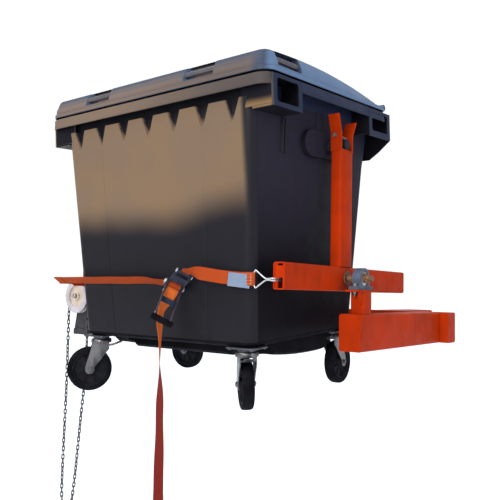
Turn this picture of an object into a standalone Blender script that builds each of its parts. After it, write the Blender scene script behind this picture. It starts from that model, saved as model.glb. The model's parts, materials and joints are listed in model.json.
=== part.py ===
"""Fork-held bin tipper with its four-wheeled 1100 litre bin, modelled in metres with Z up.

The steel frame is square to the axes. Everything that tips hangs from one horizontal tip axis, and
the bin leans a few degrees forward inside its cradle.
"""
import math

import bmesh
import bpy
from mathutils import Matrix, Vector

for leftover in list(bpy.data.objects):
    bpy.data.objects.remove(leftover, do_unlink=True)

# Clearances and cutting
GAP = 0.0003
RUNNING = 0.0004
OVERRUN = 0.002
PROUD = 0.0004

# Side boxes and cross beam, with the tip axis at Y = 0, Z = 0 until the frame is shifted
BOX_INNER = 0.646
BOX_WIDE = 0.100
BOX_HIGH = 0.150
BOX_WALL = 0.006
BOX_ROUND = 0.010
BOX_TOP = -0.144
BOX_FRONT = -0.077
BEAM_FRONT = 0.7515
BEAM_DEEP = 0.100
BEAM_OVERHANG = 0.040
DRAIN_RADIUS = 0.010
DRAIN_INSET = 0.090
BOX_OUTER = BOX_INNER + BOX_WIDE
BOX_BOTTOM = BOX_TOP - BOX_HIGH
BEAM_BACK = BEAM_FRONT + BEAM_DEEP
BEAM_END = BOX_OUTER + BEAM_OVERHANG

# Fork sleeves behind the beam
SLEEVE_SPREAD = 0.420
SLEEVE_WIDE = 0.160
SLEEVE_HIGH = 0.070
SLEEVE_WALL = 0.008
SLEEVE_LONG = 0.420
SLEEVE_ROUND = 0.012
SLEEVE_BACK = BEAM_BACK + SLEEVE_LONG
SLEEVE_CEILING = BOX_TOP - SLEEVE_WALL
CLAMP_INSET = 0.090
CLAMP_SHANK_RADIUS = 0.008
CLAMP_NUT_RADIUS = 0.016
CLAMP_NUT_HIGH = 0.014
CLAMP_REACH = 0.010
CLAMP_DROP = 0.030
CLAMP_BAR_RADIUS = 0.006
CLAMP_BAR_LONG = 0.110
CLAMP_HEAD_RADIUS = 0.012
CLAMP_HEAD_HIGH = 0.020

# The frame's origin is where the truck's forks carry the sleeves, at the sleeves' rear mouths
SHIFT = Vector((0.0, -SLEEVE_BACK, -SLEEVE_CEILING))

# Cradle arms and posts
ARM_OUTER = 0.638
ARM_WIDE = 0.050
ARM_HIGH = 0.100
ARM_WALL = 0.005
ARM_ROUND = 0.008
ARM_MID = -0.0034
ARM_FRONT = -0.457
ARM_FRONT_LEFT = -0.350
ARM_BACK = 0.562
ARM_INNER = ARM_OUTER - ARM_WIDE
ARM_TOP = ARM_MID + ARM_HIGH / 2
ARM_BOTTOM = ARM_MID - ARM_HIGH / 2
ARM_CENTRE = (ARM_OUTER + ARM_INNER) / 2
POST_FRONT = -0.0585
POST_DEEP = 0.100
POST_TOP = 0.530
POST_CAP = 0.006
CROSS_TUBE_DEEP = 0.050
END_PLATE = 0.008
END_PLATE_RECESS = 0.003
SLOT_INNER = 0.0175
SLOT_WIDE = 0.022
LOWER_SLOT_TOP = -0.0105
UPPER_SLOT_LOW = 0.0335

# Saddles that the bin's trunnions rest in
SADDLE_PLATE = 0.008
SADDLE_BEND = 0.606
SADDLE_TOP_FRONT = 0.680
SADDLE_TOP_BACK = 0.672
SADDLE_FLARE_FRONT = 0.025
SADDLE_FLARE_BACK = 0.032
LOCK_PIN_RADIUS = 0.006
LOCK_PIN_HIGH = 0.596
LOCK_PIN_INSET = 0.028
LOCK_HEAD_RADIUS = 0.009
LOCK_HEAD_LONG = 0.008
LOCK_TAIL_LONG = 0.016
RING_RADIUS = 0.0135
RING_WIRE = 0.0016

# Right bearing
PEDESTAL_INNER = 0.668
PEDESTAL_WIDE = 0.070
PEDESTAL_TUBE_WIDE = 0.061
PEDESTAL_TUBE_FRONT = -0.040
PEDESTAL_TUBE_BACK = 0.028
PEDESTAL_WALL = 0.005
PEDESTAL_PLATE = 0.008
PEDESTAL_PLATE_HALF = 0.072
PEDESTAL_TOP = -0.0468
GUSSET = 0.008
GUSSET_REACH = 0.026
GUSSET_STEPS = 6
BLOCK_WIDE = 0.038
BLOCK_HALF_LONG = 0.070
BLOCK_FOOT_HIGH = 0.015
BLOCK_RADIUS = 0.043
HOUSING_ARC = (-28, 209, 12)
BLOCK_BOLT_SPREAD = 0.0525
BEARING_OUTER = 0.031
BEARING_WIDE = 0.034
BEARING_LIP = 0.0093
BEARING_STEP = 0.002
SHAFT_RADIUS = 0.0125
SHAFT_END = 0.757
SHAFT_FLANGE_RADIUS = 0.030
SHAFT_FLANGE = 0.005
COLLAR_RADIUS = 0.019
COLLAR_WIDE = 0.012
BOLT_RADIUS = 0.006
BOLT_HEX = 0.0105
BOLT_HEAD = 0.008
BOLT_TAIL = 0.010
WASHER_RADIUS = 0.012
WASHER = 0.0025
PEDESTAL_OUTER = PEDESTAL_INNER + PEDESTAL_WIDE
BLOCK_MID = PEDESTAL_INNER + PEDESTAL_WIDE / 2
FOOT_TOP = PEDESTAL_TOP + GAP + BLOCK_FOOT_HIGH

# Left worm drive and hand chain
WORM_X = -0.735
WORM_DROP = 0.100
WORM_WHEEL_RADIUS = 0.080
WORM_WHEEL_WIDE = 0.028
WORM_TEETH = 30
WORM_TOOTH = 0.004
WORM_RADIUS = 0.0192
WORM_ROOT = 0.0150
WORM_RIDGES = 4
RIDGE_SHARES = (0.05, 0.30, 0.70, 0.95)
WORM_LONG = 0.070
OUTPUT_RADIUS = 0.0155
CASE_WIDE = 0.090
CASE_WALL = 0.007
CASE_HALF = 0.098
CASE_TOP_RADIUS = 0.098
CASE_ARC = (-12, 193, 12)
CASE_COVER = 0.010
CASE_COVER_RADIUS = 0.092
CASE_BOSS_RADIUS = 0.024
CASE_BOSS = 0.016
COVER_BOLTS = 6
COVER_BOLT_RADIUS = 0.007
COVER_BOLT_HIGH = 0.005
CHAIN_WHEEL_Y = -0.298
CHAIN_WHEEL_RADIUS = 0.086
CHAIN_PITCH_RADIUS = 0.0715
CHAIN_WIDE = 0.017
GROOVE_RADIUS = 0.0621
GROOVE_WIDE = 0.0190
FLANGE_EDGE = 0.0045
FLANGE_ROOT = 0.0070
WEB_RADIUS = 0.052
WEB_WIDE = 0.008
WHEEL_HUB_RADIUS = 0.022
WHEEL_HUB_LONG = 0.034
DRIVE_TAIL = 0.012
BRACKET_PLATE = 0.010
BRACKET_GAP = 0.006
BRACKET_FOOT = 0.100
BRACKET_NECK = 0.044
BRACKET_EYE_RADIUS = 0.030
BRACKET_SOLE = 0.006
BRACKET_SOLE_LONG = 0.060
TONGUE_HIGH = 0.030
TONGUE_WALL = 0.004
TONGUE_TOP = BOX_BOTTOM + TONGUE_HIGH

# Bin, in its own frame: the same tip axis, leaned forward
LEAN = 4.0
BIN_WALL = 0.005
RIM_HALF = 0.634
RIM_FRONT = -0.529
RIM_BACK = 0.449
RIM_HIGH = 0.044
RIM_TOP = 0.759
RIM_LOW = RIM_TOP - RIM_HIGH
RIM_SHELF = 0.006
RIM_LIP = 0.007
RIM_CORNER = 0.060
RIM_OVERHANG = 0.089
BODY_DRAFT = 0.058
BODY_TOP_HALF = RIM_HALF - RIM_OVERHANG
BODY_LOW_HALF = BODY_TOP_HALF - BODY_DRAFT
BODY_TOP_FRONT = -0.501
BODY_LOW_FRONT = -0.4605
BODY_TOP_BACK = 0.415
BODY_LOW_BACK = 0.300
BODY_LOW = -0.244
BODY_CORNER = 0.045
BODY_FOOT = 0.020
SUMP_DROP = 0.024
SUMP_INSET = 0.037
SUMP_HALF = BODY_LOW_HALF - SUMP_INSET
SUMP_FRONT = -0.345
SUMP_BACK = 0.160
SUMP_DRAFT = 0.020
NOTCHES = 7
NOTCH_EDGE = 0.050
NOTCH_PITCH = 2 * (BODY_TOP_HALF - BODY_CORNER - NOTCH_EDGE) / (NOTCHES - 1)
NOTCH_TIP = 0.597
NOTCH_TOP = 0.688
NOTCH_LAND = 0.078
NOTCH_HALF = (NOTCH_PITCH - NOTCH_LAND) / 2
NOTCH_DEEP = 0.030
NOTCH_LEAST = 0.004
LEDGE = 0.008
PANEL_PROUD = 0.004
LEDGE_DROP = 0.0065
HANDLE_PLATE = 0.008
NEAR_LOOP = (-0.497, -0.303, 0.638)
NEAR_OPENING = (-0.469, -0.329, 0.656, 0.741)
REAR_LOOP = (0.246, 0.4575, 0.632)
REAR_OPENING = (0.274, 0.429, 0.659, 0.741)
REAR_RIB = 0.010
REAR_RIB_SHARES = (0.93, 0.40)
REAR_RIB_DROP = 0.060
RIB_LOW = 0.470
BOSS_HALF_LONG = 0.200
BOSS_HALF_HIGH = 0.055
BOSS_PROUD = 0.022
BOSS_STEPS = 8
TRUNNION_RADIUS = 0.0225
TRUNNION_BEYOND = 0.006
TRUNNION_END = RIM_HALF + TRUNNION_BEYOND
TRUNNION_COLLAR = 0.034
TRUNNION_Y = POST_FRONT + POST_DEEP / 2
TRUNNION_Z = POST_TOP + GAP + SADDLE_PLATE + GAP + TRUNNION_RADIUS

# Lid
LID_GAP = 0.007
LID_EDGE = 0.0175
LID_WALL = 0.004
LID_STEP = 0.006
LID_RISE = 0.099
LID_CROWN = RIM_TOP + LID_RISE
LID_CREST_Y = -0.250
LID_FALL = 0.140
LID_SIDE_DRAFT = 0.018
LID_SHOULDER = 0.030
LID_CORNER = 0.062
POCKET_X = 0.297
POCKET_WIDE = 0.156
POCKET_DEEP = 0.070
POCKET_DROP = 0.066
POCKET_FLOOR = LID_CROWN - POCKET_DROP
POCKET_END_Y = -0.370
GRIP_LIFT = 0.016
GRIP_LOW = POCKET_FLOOR + GRIP_LIFT
GRIP_HIGH = 0.020
GRIP_THICK = 0.016
GRIP_INSET = 0.020
GRIP_STEPS = 2
HINGE_Y = 0.470
HINGE_Z = 0.797
HINGE_ROD = 0.006
LUG_RADIUS = 0.016
LUG_WIDE = 0.050
LUG_PLATE = 0.024
LUG_SPREAD = (0.575, 0.200)
LUG_GAP = 0.003
LUG_ARC = (0, 181, 20)
LID_LUG_ARC = (-90, 91, 20)

# Castors
WHEEL_RADIUS = 0.100
TYRE_WIDE = 0.046
RIM_RADIUS = 0.076
HUB_RADIUS = 0.026
HUB_LONG = 0.058
DISC_WIDE = 0.012
AXLE_RADIUS = 0.0065
AXLE_NUT_RADIUS = 0.011
AXLE_NUT = 0.008
CASTOR_TRAIL = 0.055
CASTOR_HIGH = 0.254
CASTOR_X = 0.427
CASTOR_FRONT = -0.415
CASTOR_BACK = 0.225
CASTOR_PLATE_LONG = 0.135
CASTOR_PLATE_WIDE = 0.105
CASTOR_PLATE = 0.006
RACE_RADIUS = 0.036
RACE_HIGH = 0.012
HEAD_RADIUS = 0.046
HEAD_HIGH = 0.018
FORK_PLATE = 0.004
FORK_GAP = 0.0592
FORK_CROWN = 0.040
FORK_EYE = 0.022
EYE_ARC = (20, -201, -44)
FORK_FRONT = -0.034
PEDAL_WIDE = 0.046
PEDAL_PLATE = 0.004
PEDAL_REACH = 0.072
PEDAL_BEND = 0.029
PEDAL_RISE = 0.016
PEDAL_PIVOT_Y = -0.022
PEDAL_PIVOT_Z = -0.052
PEDAL_BARREL = 0.006
HEADINGS = {"front_left": 142.0, "front_right": 46.0, "rear_right": 4.0, "rear_left": 92.0}

# Strap, hook and ratchet
STRAP_WIDE = 0.050
STRAP_THICK = 0.0025
STRAP_Y = -0.4835
HOOK_WIRE = 0.003
HOOK_BASE_X = 0.522
HOOK_HIGH = 0.014
HOOK_LOW = -0.047
HOOK_NECK_X = 0.572
HOOK_PRONG_Z = -0.018
HOOK_PRONG_APART = 0.0076
HOOK_TIP_Y = -0.436
ANCHOR_PLATE = 0.010
ANCHOR_X = -0.613
ANCHOR_TAB_END = -0.640
ANCHOR_TOP = -0.014
ANCHOR_LOW = -0.042
ANCHOR_DEEP_LOW = -0.050
ANCHOR_STEP_Y = -0.415
SPINDLE_AT = (0.148, -0.515, -0.043)
RATCHET_AXES = ((0.825, -0.261, 0.484), (0.495, 0.748, -0.440))
SPINDLE_RADIUS = 0.0085
SPINDLE_SLOT = 0.0040
SIDE_INNER = 0.0285
SIDE_PLATE = 0.0028
SIDE_FRONT = -0.020
SIDE_BACK = 0.102
SIDE_LOW = -0.015
SIDE_HIGH = 0.017
SIDE_ROUND = 0.010
SIDE_SHOULDER = 0.087
BASE_FRONT = 0.034
BASE_BACK = 0.076
RATCHET_BOLT_X = 0.090
RATCHET_BOLT_RADIUS = 0.006
RATCHET_BOLT_HEAD = 0.009
RATCHET_BOLT_TALL = 0.004
HANDLE_ARM = 0.0028
HANDLE_LONG = 0.180
HANDLE_EYE = 0.016
HANDLE_ARC = (-20, 201, 20)
BRACE_NEAR = 0.072
BRACE_FAR = 0.099
HANDLE_NECK = 0.011
HANDLE_GRIP_RADIUS = 0.009
HANDLE_GRIP_OVER = 0.010
RATCHET_WHEEL_RADIUS = 0.019
RATCHET_WHEEL = 0.003
RATCHET_TEETH = 12
RATCHET_TOOTH = 0.003
ROLL_TURNS = 3
TURN_STEPS = 14
ROLL_START = 0.0104
ROLL_PITCH = 0.0031
STRAP_RIGHT_HIGH = -0.0165
STRAP_RIGHT_ROUTE = ((0.300, -0.5305, 0.003), (0.380, -0.505, -0.009), (0.460, -0.487, -0.0155))
STRAP_RIGHT_POINTS = 16
STRAP_GATHER_SHARES = (0.64, 0.80, 0.93)
RIGHT_TURN_SHARES = (0.1, 0.5)
LEFT_TURN_SHARES = (0.1, 0.3)
TAIL_TURN_SHARES = (0.03, 0.12)
STRAP_LEFT_END = -0.624
STRAP_LEFT_Y = -0.5055
STRAP_LEFT_HIGH = -0.0255
STRAP_LEFT_SIDE = (0, -0.83, 0.56)
STRAP_LEFT_ROUTE = ((0.095, -0.506, -0.0345), (0.040, -0.506, -0.030), (-0.020, -0.5055, -0.0245),
                    (-0.200, -0.5055, -0.025), (-0.420, -0.5055, -0.0255))
STRAP_LEFT_POINTS = 26
TAIL_ROUTE = ((0.149, -0.5380, -0.0790), (0.134, -0.5430, -0.105), (0.117, -0.5480, -0.140),
              (0.109, -0.5500, -0.180), (0.112, -0.5505, -0.260), (0.117, -0.5510, -0.360),
              (0.119, -0.5500, -0.415), (0.122, -0.5495, -0.560), (0.125, -0.5495, -0.700),
              (0.126, -0.5500, -0.779), (0.127, -0.5505, -0.900))
TAIL_POINTS = 34
TAIL_SIDE = (-0.30, 0.95, 0.0)

# How finely curves are drawn, with arcs as first degree, end degree and step
ROUND_STEPS = 16
FINE_STEPS = 20
CORNER_STEPS = 3
ROUTE_STEPS = 20
WHOLE_ARC = (0, 360, 45)
HEX_ARC = (0, 360, 60)
CREASE = 35
SOFT_CREASE = 50


def material(name, colour, roughness, metallic=0.0):
    """One Principled material with the part's own colour."""
    made = bpy.data.materials.new(name)
    made.use_nodes = True
    shader = made.node_tree.nodes["Principled BSDF"]
    shader.inputs["Base Color"].default_value = (*colour, 1.0)
    shader.inputs["Roughness"].default_value = roughness
    shader.inputs["Metallic"].default_value = metallic
    made.diffuse_color = (*colour, 1.0)
    return made


ORANGE = material("orange_paint", (0.62, 0.09, 0.02), 0.38)
CHARCOAL = material("charcoal_plastic", (0.030, 0.031, 0.038), 0.45)
LID_PLASTIC = material("lid_plastic", (0.034, 0.035, 0.042), 0.42)
ZINC = material("zinc_plate", (0.55, 0.55, 0.53), 0.38, 0.9)
RUBBER = material("tyre_rubber", (0.022, 0.022, 0.023), 0.75)
WEBBING = material("orange_webbing", (0.55, 0.10, 0.03), 0.85)
STEEL = material("bare_steel", (0.38, 0.36, 0.34), 0.42, 1.0)
RUST = material("rusty_steel", (0.30, 0.15, 0.08), 0.70, 0.6)
CAST = material("cast_grey", (0.22, 0.25, 0.30), 0.55, 0.3)
CREAM = material("cream_casting", (0.62, 0.54, 0.43), 0.50, 0.1)
BLACK = material("black_paint", (0.020, 0.020, 0.022), 0.45)
CHAIN = material("chain_steel", (0.16, 0.16, 0.15), 0.50, 0.9)
GALVANISED = material("galvanised_wire", (0.45, 0.46, 0.47), 0.40, 0.95)


def empty(name, parent, at=(0, 0, 0), turn=None):
    """A frame that pieces hang from, with its origin on a joint's axis."""
    frame = bpy.data.objects.new(name, None)
    bpy.context.collection.objects.link(frame)
    frame.parent = parent
    frame.location = at
    if turn is not None:
        frame.rotation_euler = turn
    return frame


def piece(name, shape, finish, parent, origin=(0, 0, 0), smooth=None):
    """A named object from a mesh in its parent's frame, with its origin moved to where it turns."""
    bmesh.ops.recalc_face_normals(shape, faces=shape.faces)
    bmesh.ops.translate(shape, vec=-Vector(origin), verts=shape.verts)
    mesh = bpy.data.meshes.new(name)
    shape.to_mesh(mesh)
    shape.free()
    mesh.materials.append(finish)
    made = bpy.data.objects.new(name, mesh)
    bpy.context.collection.objects.link(made)
    made.parent = parent
    made.location = origin
    if smooth is not None:
        mesh.shade_smooth()
        mesh.set_sharp_from_angle(angle=math.radians(smooth))
    return made


def loft(rings, closed=False, strips=False):
    """A closed skin through rings of points with the same count, capped at both ends unless closed."""
    shape = bmesh.new()
    made = [[shape.verts.new(point) for point in ring] for ring in rings]
    count = len(made[0])
    pairs = list(zip(made, made[1:]))
    if closed:
        pairs.append((made[-1], made[0]))
    for low, high in pairs:
        for index in range(count):
            after = (index + 1) % count
            shape.faces.new((low[index], low[after], high[after], high[index]))
    if not closed:
        for ring in (made[0], made[-1]):
            if strips:
                for index in range(count // 2 - 1):
                    across = (ring[count - 2 - index], ring[count - 1 - index])
                    shape.faces.new((ring[index], ring[index + 1], *across))
            else:
                shape.faces.new(ring)
    bmesh.ops.recalc_face_normals(shape, faces=shape.faces)
    return shape


def placed(point, level, axis):
    """A plan point set at a level along one axis."""
    first, second = point
    if axis == "x":
        return (level, first, second)
    if axis == "y":
        return (first, level, second)
    return (first, second, level)


def prism(outline, low, high, axis):
    """A solid bar with one outline."""
    return loft([[placed(point, level, axis) for point in outline] for level in (low, high)])


def box(low, high):
    """A plain block between two corners."""
    outline = [(low[0], low[1]), (high[0], low[1]), (high[0], high[1]), (low[0], high[1])]
    return prism(outline, low[2], high[2], "z")


def tube(outer, inner, low, high, axis):
    """A hollow section open at both ends."""
    rings = [(outer, low), (outer, high), (inner, high), (inner, low)]
    return loft([[placed(point, level, axis) for point in ring] for ring, level in rings], closed=True)


def cup(outer, inner, shut, mouth, floor, axis):
    """A hollow section with one end closed by a floor."""
    inside = shut + math.copysign(floor, mouth - shut)
    rings = [(outer, shut), (outer, mouth), (inner, mouth), (inner, inside)]
    return loft([[placed(point, level, axis) for point in ring] for ring, level in rings])


def rounded(low, high, radius, steps=CORNER_STEPS):
    """A rectangle with round corners, as plan points that go round once."""
    centres = ((high[0] - radius, low[1] + radius, -90), (high[0] - radius, high[1] - radius, 0),
               (low[0] + radius, high[1] - radius, 90), (low[0] + radius, low[1] + radius, 180))
    points = []
    for across, up, start in centres:
        for step in range(steps + 1):
            angle = math.radians(start + 90 * step / steps)
            points.append((across + radius * math.cos(angle), up + radius * math.sin(angle)))
    return points


def section(low, high, radius, wall):
    """The outer and inner outlines of a rolled hollow section."""
    outer = rounded(low, high, radius)
    inside_low = (low[0] + wall, low[1] + wall)
    inside_high = (high[0] - wall, high[1] - wall)
    inner = rounded(inside_low, inside_high, max(radius - wall, radius / 4))
    return outer, inner


def circle(radius, level, axis, centre=(0, 0), steps=ROUND_STEPS):
    """One ring of points round an axis."""
    ring = []
    for step in range(steps):
        angle = 2 * math.pi * (step + 0.5) / steps
        first = centre[0] + radius * math.cos(angle)
        second = centre[1] + radius * math.sin(angle)
        ring.append(placed((first, second), level, axis))
    return ring


def arc(radius, first, last, step, centre=(0, 0)):
    """Plan points along part of a circle, in whole degrees."""
    points = []
    for degrees in range(first, last, step):
        angle = math.radians(degrees)
        points.append((centre[0] + radius * math.cos(angle), centre[1] + radius * math.sin(angle)))
    return points


def turned(profile, axis, centre=(0, 0), steps=ROUND_STEPS, hollow=False):
    """A turned part from radius and level pairs."""
    return loft([circle(radius, level, axis, centre, steps) for radius, level in profile], closed=hollow)


def toothed(radius, depth, teeth, low, high, axis, centre=(0, 0)):
    """A disc with pointed teeth."""
    outline = []
    for step in range(2 * teeth):
        angle = 2 * math.pi * (step + 0.5) / (2 * teeth)
        reach = radius if step % 2 else radius - depth
        outline.append((centre[0] + reach * math.cos(angle), centre[1] + reach * math.sin(angle)))
    return prism(outline, low, high, axis)


def combined(first, second, operation):
    """Two shapes joined, or one cut from the other, with the exact solver."""
    objects = []
    for shape in (first, second):
        bmesh.ops.recalc_face_normals(shape, faces=shape.faces)
        mesh = bpy.data.meshes.new("working")
        shape.to_mesh(mesh)
        shape.free()
        working = bpy.data.objects.new("working", mesh)
        bpy.context.collection.objects.link(working)
        objects.append(working)
    target, tool = objects
    cutting = target.modifiers.new("boolean", "BOOLEAN")
    cutting.solver = "EXACT"
    cutting.operation = operation
    cutting.object = tool
    bpy.context.view_layer.update()
    graph = bpy.context.evaluated_depsgraph_get()
    result = bmesh.new()
    result.from_mesh(target.evaluated_get(graph).data)
    for working in objects:
        mesh = working.data
        bpy.data.objects.remove(working, do_unlink=True)
        bpy.data.meshes.remove(mesh)
    bmesh.ops.remove_doubles(result, verts=result.verts, dist=GAP / 100)
    return result


def joined(first, *others):
    """One body from shapes that overlap."""
    for other in others:
        first = combined(first, other, "UNION")
    return first


def cut(first, *tools):
    """A body with each tool's space taken out."""
    for tool in tools:
        first = combined(first, tool, "DIFFERENCE")
    return first


def bored(shape, radius, low, high, axis, centre=(0, 0), steps=ROUND_STEPS):
    """A body with a round hole along an axis."""
    return cut(shape, turned([(radius, low), (radius, high)], axis, centre, steps))


def rod(start, end, radius, steps=ROUND_STEPS // 2):
    """A round bar between two points."""
    start, end = Vector(start), Vector(end)
    along = (end - start).normalized()
    side = along.orthogonal().normalized()
    up = along.cross(side)
    rings = []
    for point in (start, end):
        ring = []
        for step in range(steps):
            angle = 2 * math.pi * step / steps
            ring.append(point + radius * (math.cos(angle) * side + math.sin(angle) * up))
        rings.append(ring)
    return loft(rings)


def hexagon(radius, level, high, axis, centre):
    """A bolt head or nut."""
    return turned([(radius, level), (radius, high)], axis, centre, 6)


def mirrored(shape):
    """The same shape on the other side of the middle plane."""
    bmesh.ops.scale(shape, vec=(-1, 1, 1), verts=shape.verts)
    bmesh.ops.reverse_faces(shape, faces=shape.faces)
    return shape


def swept(points, radius, steps=10):
    """A round wire along a path, its ring turned with the least twist."""
    points = [Vector(point) for point in points]
    heading = (points[1] - points[0]).normalized()
    side = heading.orthogonal().normalized()
    rings = []
    for index, point in enumerate(points):
        before = points[max(index - 1, 0)]
        after = points[min(index + 1, len(points) - 1)]
        along = (after - before).normalized()
        side = (side - side.dot(along) * along).normalized()
        up = along.cross(side)
        ring = []
        for step in range(steps):
            angle = 2 * math.pi * step / steps
            ring.append(point + radius * (math.cos(angle) * side + math.sin(angle) * up))
        rings.append(ring)
    return loft(rings)


def smooth_path(points, count):
    """Evenly spaced points on a smooth curve through the route's own points."""
    points = [Vector(point) for point in points]
    ends = [points[0] * 2 - points[1]] + points + [points[-1] * 2 - points[-2]]
    dense = []
    for index in range(1, len(ends) - 2):
        a, b, c, d = ends[index - 1:index + 3]
        for step in range(ROUTE_STEPS):
            t = step / ROUTE_STEPS
            dense.append(0.5 * ((2 * b) + (c - a) * t + (2 * a - 5 * b + 4 * c - d) * t ** 2
                                + (3 * b - a - 3 * c + d) * t ** 3))
    dense.append(points[-1])
    lengths = [0.0]
    for before, after in zip(dense, dense[1:]):
        lengths.append(lengths[-1] + (after - before).length)
    spaced = []
    place = 0
    for step in range(count):
        target = lengths[-1] * step / (count - 1)
        while place < len(lengths) - 2 and lengths[place + 1] < target:
            place += 1
        span = max(lengths[place + 1] - lengths[place], GAP / 1000)
        spaced.append(dense[place].lerp(dense[place + 1], (target - lengths[place]) / span))
    return spaced


def ribbon(path, sides, width, thick, gathered=()):
    """A flat strap along a path, with the direction of its width at each point, gathered at its start."""
    rings = []
    for index, point in enumerate(path):
        before = path[max(index - 1, 0)]
        after = path[min(index + 1, len(path) - 1)]
        along = (after - before).normalized()
        side = (sides[index] - sides[index].dot(along) * along).normalized()
        face = along.cross(side)
        wide = width * (gathered[index] if index < len(gathered) else 1.0)
        rings.append([point + side * across * wide / 2 + face * out * thick / 2
                      for across, out in ((-1, -1), (1, -1), (1, 1), (-1, 1))])
    return loft(rings)


# Frames that carry the moving parts
attachment = empty("attachment", None, SHIFT)
cradle = empty("cradle", attachment)
bin_pose = empty("bin_pose", cradle, turn=(math.radians(LEAN), 0, 0))


def cross_beam():
    """Rolled hollow beam, capped at both ends, with two drain holes below."""
    outer, inner = section((BEAM_FRONT, BOX_BOTTOM), (BEAM_BACK, BOX_TOP), BOX_ROUND, BOX_WALL)
    shape = prism(outer, -BEAM_END, BEAM_END, "x")
    shape = cut(shape, prism(inner, -BEAM_END + BOX_WALL, BEAM_END - BOX_WALL, "x"))
    middle = (BEAM_FRONT + BEAM_BACK) / 2
    for side in (-1, 1):
        centre = (side * (BEAM_END - DRAIN_INSET), middle)
        shape = bored(shape, DRAIN_RADIUS, BOX_BOTTOM - OVERRUN, BOX_BOTTOM + 2 * BOX_WALL, "z", centre)
    piece("cross_beam", shape, ORANGE, attachment, (0, middle, BOX_BOTTOM + BOX_HIGH / 2))


def side_box(name, side):
    """Hollow box that reaches forward from the beam, shut at its near end."""
    outer, inner = section((BOX_INNER, BOX_BOTTOM), (BOX_OUTER, BOX_TOP), BOX_ROUND, BOX_WALL)
    shape = cup(outer, inner, BOX_FRONT, BEAM_FRONT - GAP, BOX_WALL, "y")
    if side < 0:
        shape = mirrored(shape)
    piece(name, shape, ORANGE, attachment, (side * (BOX_INNER + BOX_OUTER) / 2, BEAM_FRONT, BOX_TOP))


def fork_sleeve(name, side):
    """Open sleeve for one fork, with a welded nut below for its clamp screw."""
    middle = side * SLEEVE_SPREAD
    low = (middle - SLEEVE_WIDE / 2, BOX_TOP - SLEEVE_HIGH)
    high = (middle + SLEEVE_WIDE / 2, BOX_TOP)
    outer, inner = section(low, high, SLEEVE_ROUND, SLEEVE_WALL)
    shape = tube(outer, inner, BEAM_BACK + GAP, SLEEVE_BACK, "y")
    centre = (middle, SLEEVE_BACK - CLAMP_INSET)
    nut = hexagon(CLAMP_NUT_RADIUS, low[1] - CLAMP_NUT_HIGH, low[1] + SLEEVE_WALL / 2, "z", centre)
    bore = CLAMP_SHANK_RADIUS + RUNNING
    under = low[1] - 2 * CLAMP_NUT_HIGH
    shape = bored(joined(shape, nut), bore, under, low[1] + 2 * SLEEVE_WALL, "z", centre)
    piece(name, shape, ORANGE, attachment, (middle, SLEEVE_BACK, BOX_TOP))


def clamp_screw(name, side, parent):
    """T-handled screw that grips a fork from below."""
    centre = (side * SLEEVE_SPREAD, SLEEVE_BACK - CLAMP_INSET)
    floor = BOX_TOP - SLEEVE_HIGH + SLEEVE_WALL
    head = BOX_TOP - SLEEVE_HIGH - CLAMP_NUT_HIGH - CLAMP_DROP
    tip = floor + CLAMP_REACH
    shank, knob = CLAMP_SHANK_RADIUS, CLAMP_HEAD_RADIUS
    profile = [(shank - OVERRUN, tip), (shank, tip - OVERRUN), (shank, head), (knob, head - shank / 2),
               (knob, head - CLAMP_HEAD_HIGH)]
    screw = turned(profile, "z", centre, FINE_STEPS // 2)
    bar_height = head - CLAMP_HEAD_HIGH / 2
    bar = rod((centre[0], centre[1] - CLAMP_BAR_LONG / 2, bar_height),
              (centre[0], centre[1] + CLAMP_BAR_LONG / 2, bar_height), CLAMP_BAR_RADIUS)
    piece(name, joined(screw, bar), ZINC, parent, (*centre, head), SOFT_CREASE)


def pedestal():
    """Short column with a top plate and a front gusset, welded to the right box."""
    low = (PEDESTAL_OUTER - PEDESTAL_TUBE_WIDE, PEDESTAL_TUBE_FRONT)
    outer = rounded(low, (PEDESTAL_OUTER, PEDESTAL_TUBE_BACK), PEDESTAL_WALL)
    inside = (PEDESTAL_OUTER - PEDESTAL_WALL, PEDESTAL_TUBE_BACK - PEDESTAL_WALL)
    inner = rounded((low[0] + PEDESTAL_WALL, low[1] + PEDESTAL_WALL), inside, PEDESTAL_WALL / 2)
    under = PEDESTAL_TOP - PEDESTAL_PLATE
    column = cup(outer, inner, under + PROUD, BOX_TOP + GAP, PEDESTAL_WALL, "z")
    plate = box((PEDESTAL_INNER, -PEDESTAL_PLATE_HALF, under),
                (PEDESTAL_OUTER + PROUD, PEDESTAL_PLATE_HALF, PEDESTAL_TOP))
    back = PEDESTAL_TUBE_FRONT + PEDESTAL_WALL / 2
    front = PEDESTAL_TUBE_FRONT - GUSSET_REACH
    foot = BOX_TOP + 4 * GUSSET
    curve = []
    for step in range(GUSSET_STEPS + 1):
        turn = math.sin(math.pi / 2 * step / GUSSET_STEPS)
        curve.append((front + (back - front) * turn ** 2, under - (under - foot) * turn))
    outline = [(back, under + PROUD), (front, under + PROUD)] + curve[1:] + [(back, foot - GUSSET / 4)]
    flank = PEDESTAL_OUTER - PEDESTAL_WALL - GUSSET / 8
    gusset = prism(outline, flank - GUSSET, flank, "x")
    shape = joined(plate, column, gusset)
    for side in (-1, 1):
        centre = (BLOCK_MID, side * BLOCK_BOLT_SPREAD)
        shape = bored(shape, BOLT_RADIUS + RUNNING, under - OVERRUN, PEDESTAL_TOP + OVERRUN, "z", centre)
    piece("pedestal_right", shape, ORANGE, attachment, (BLOCK_MID, 0, PEDESTAL_TOP))


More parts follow.
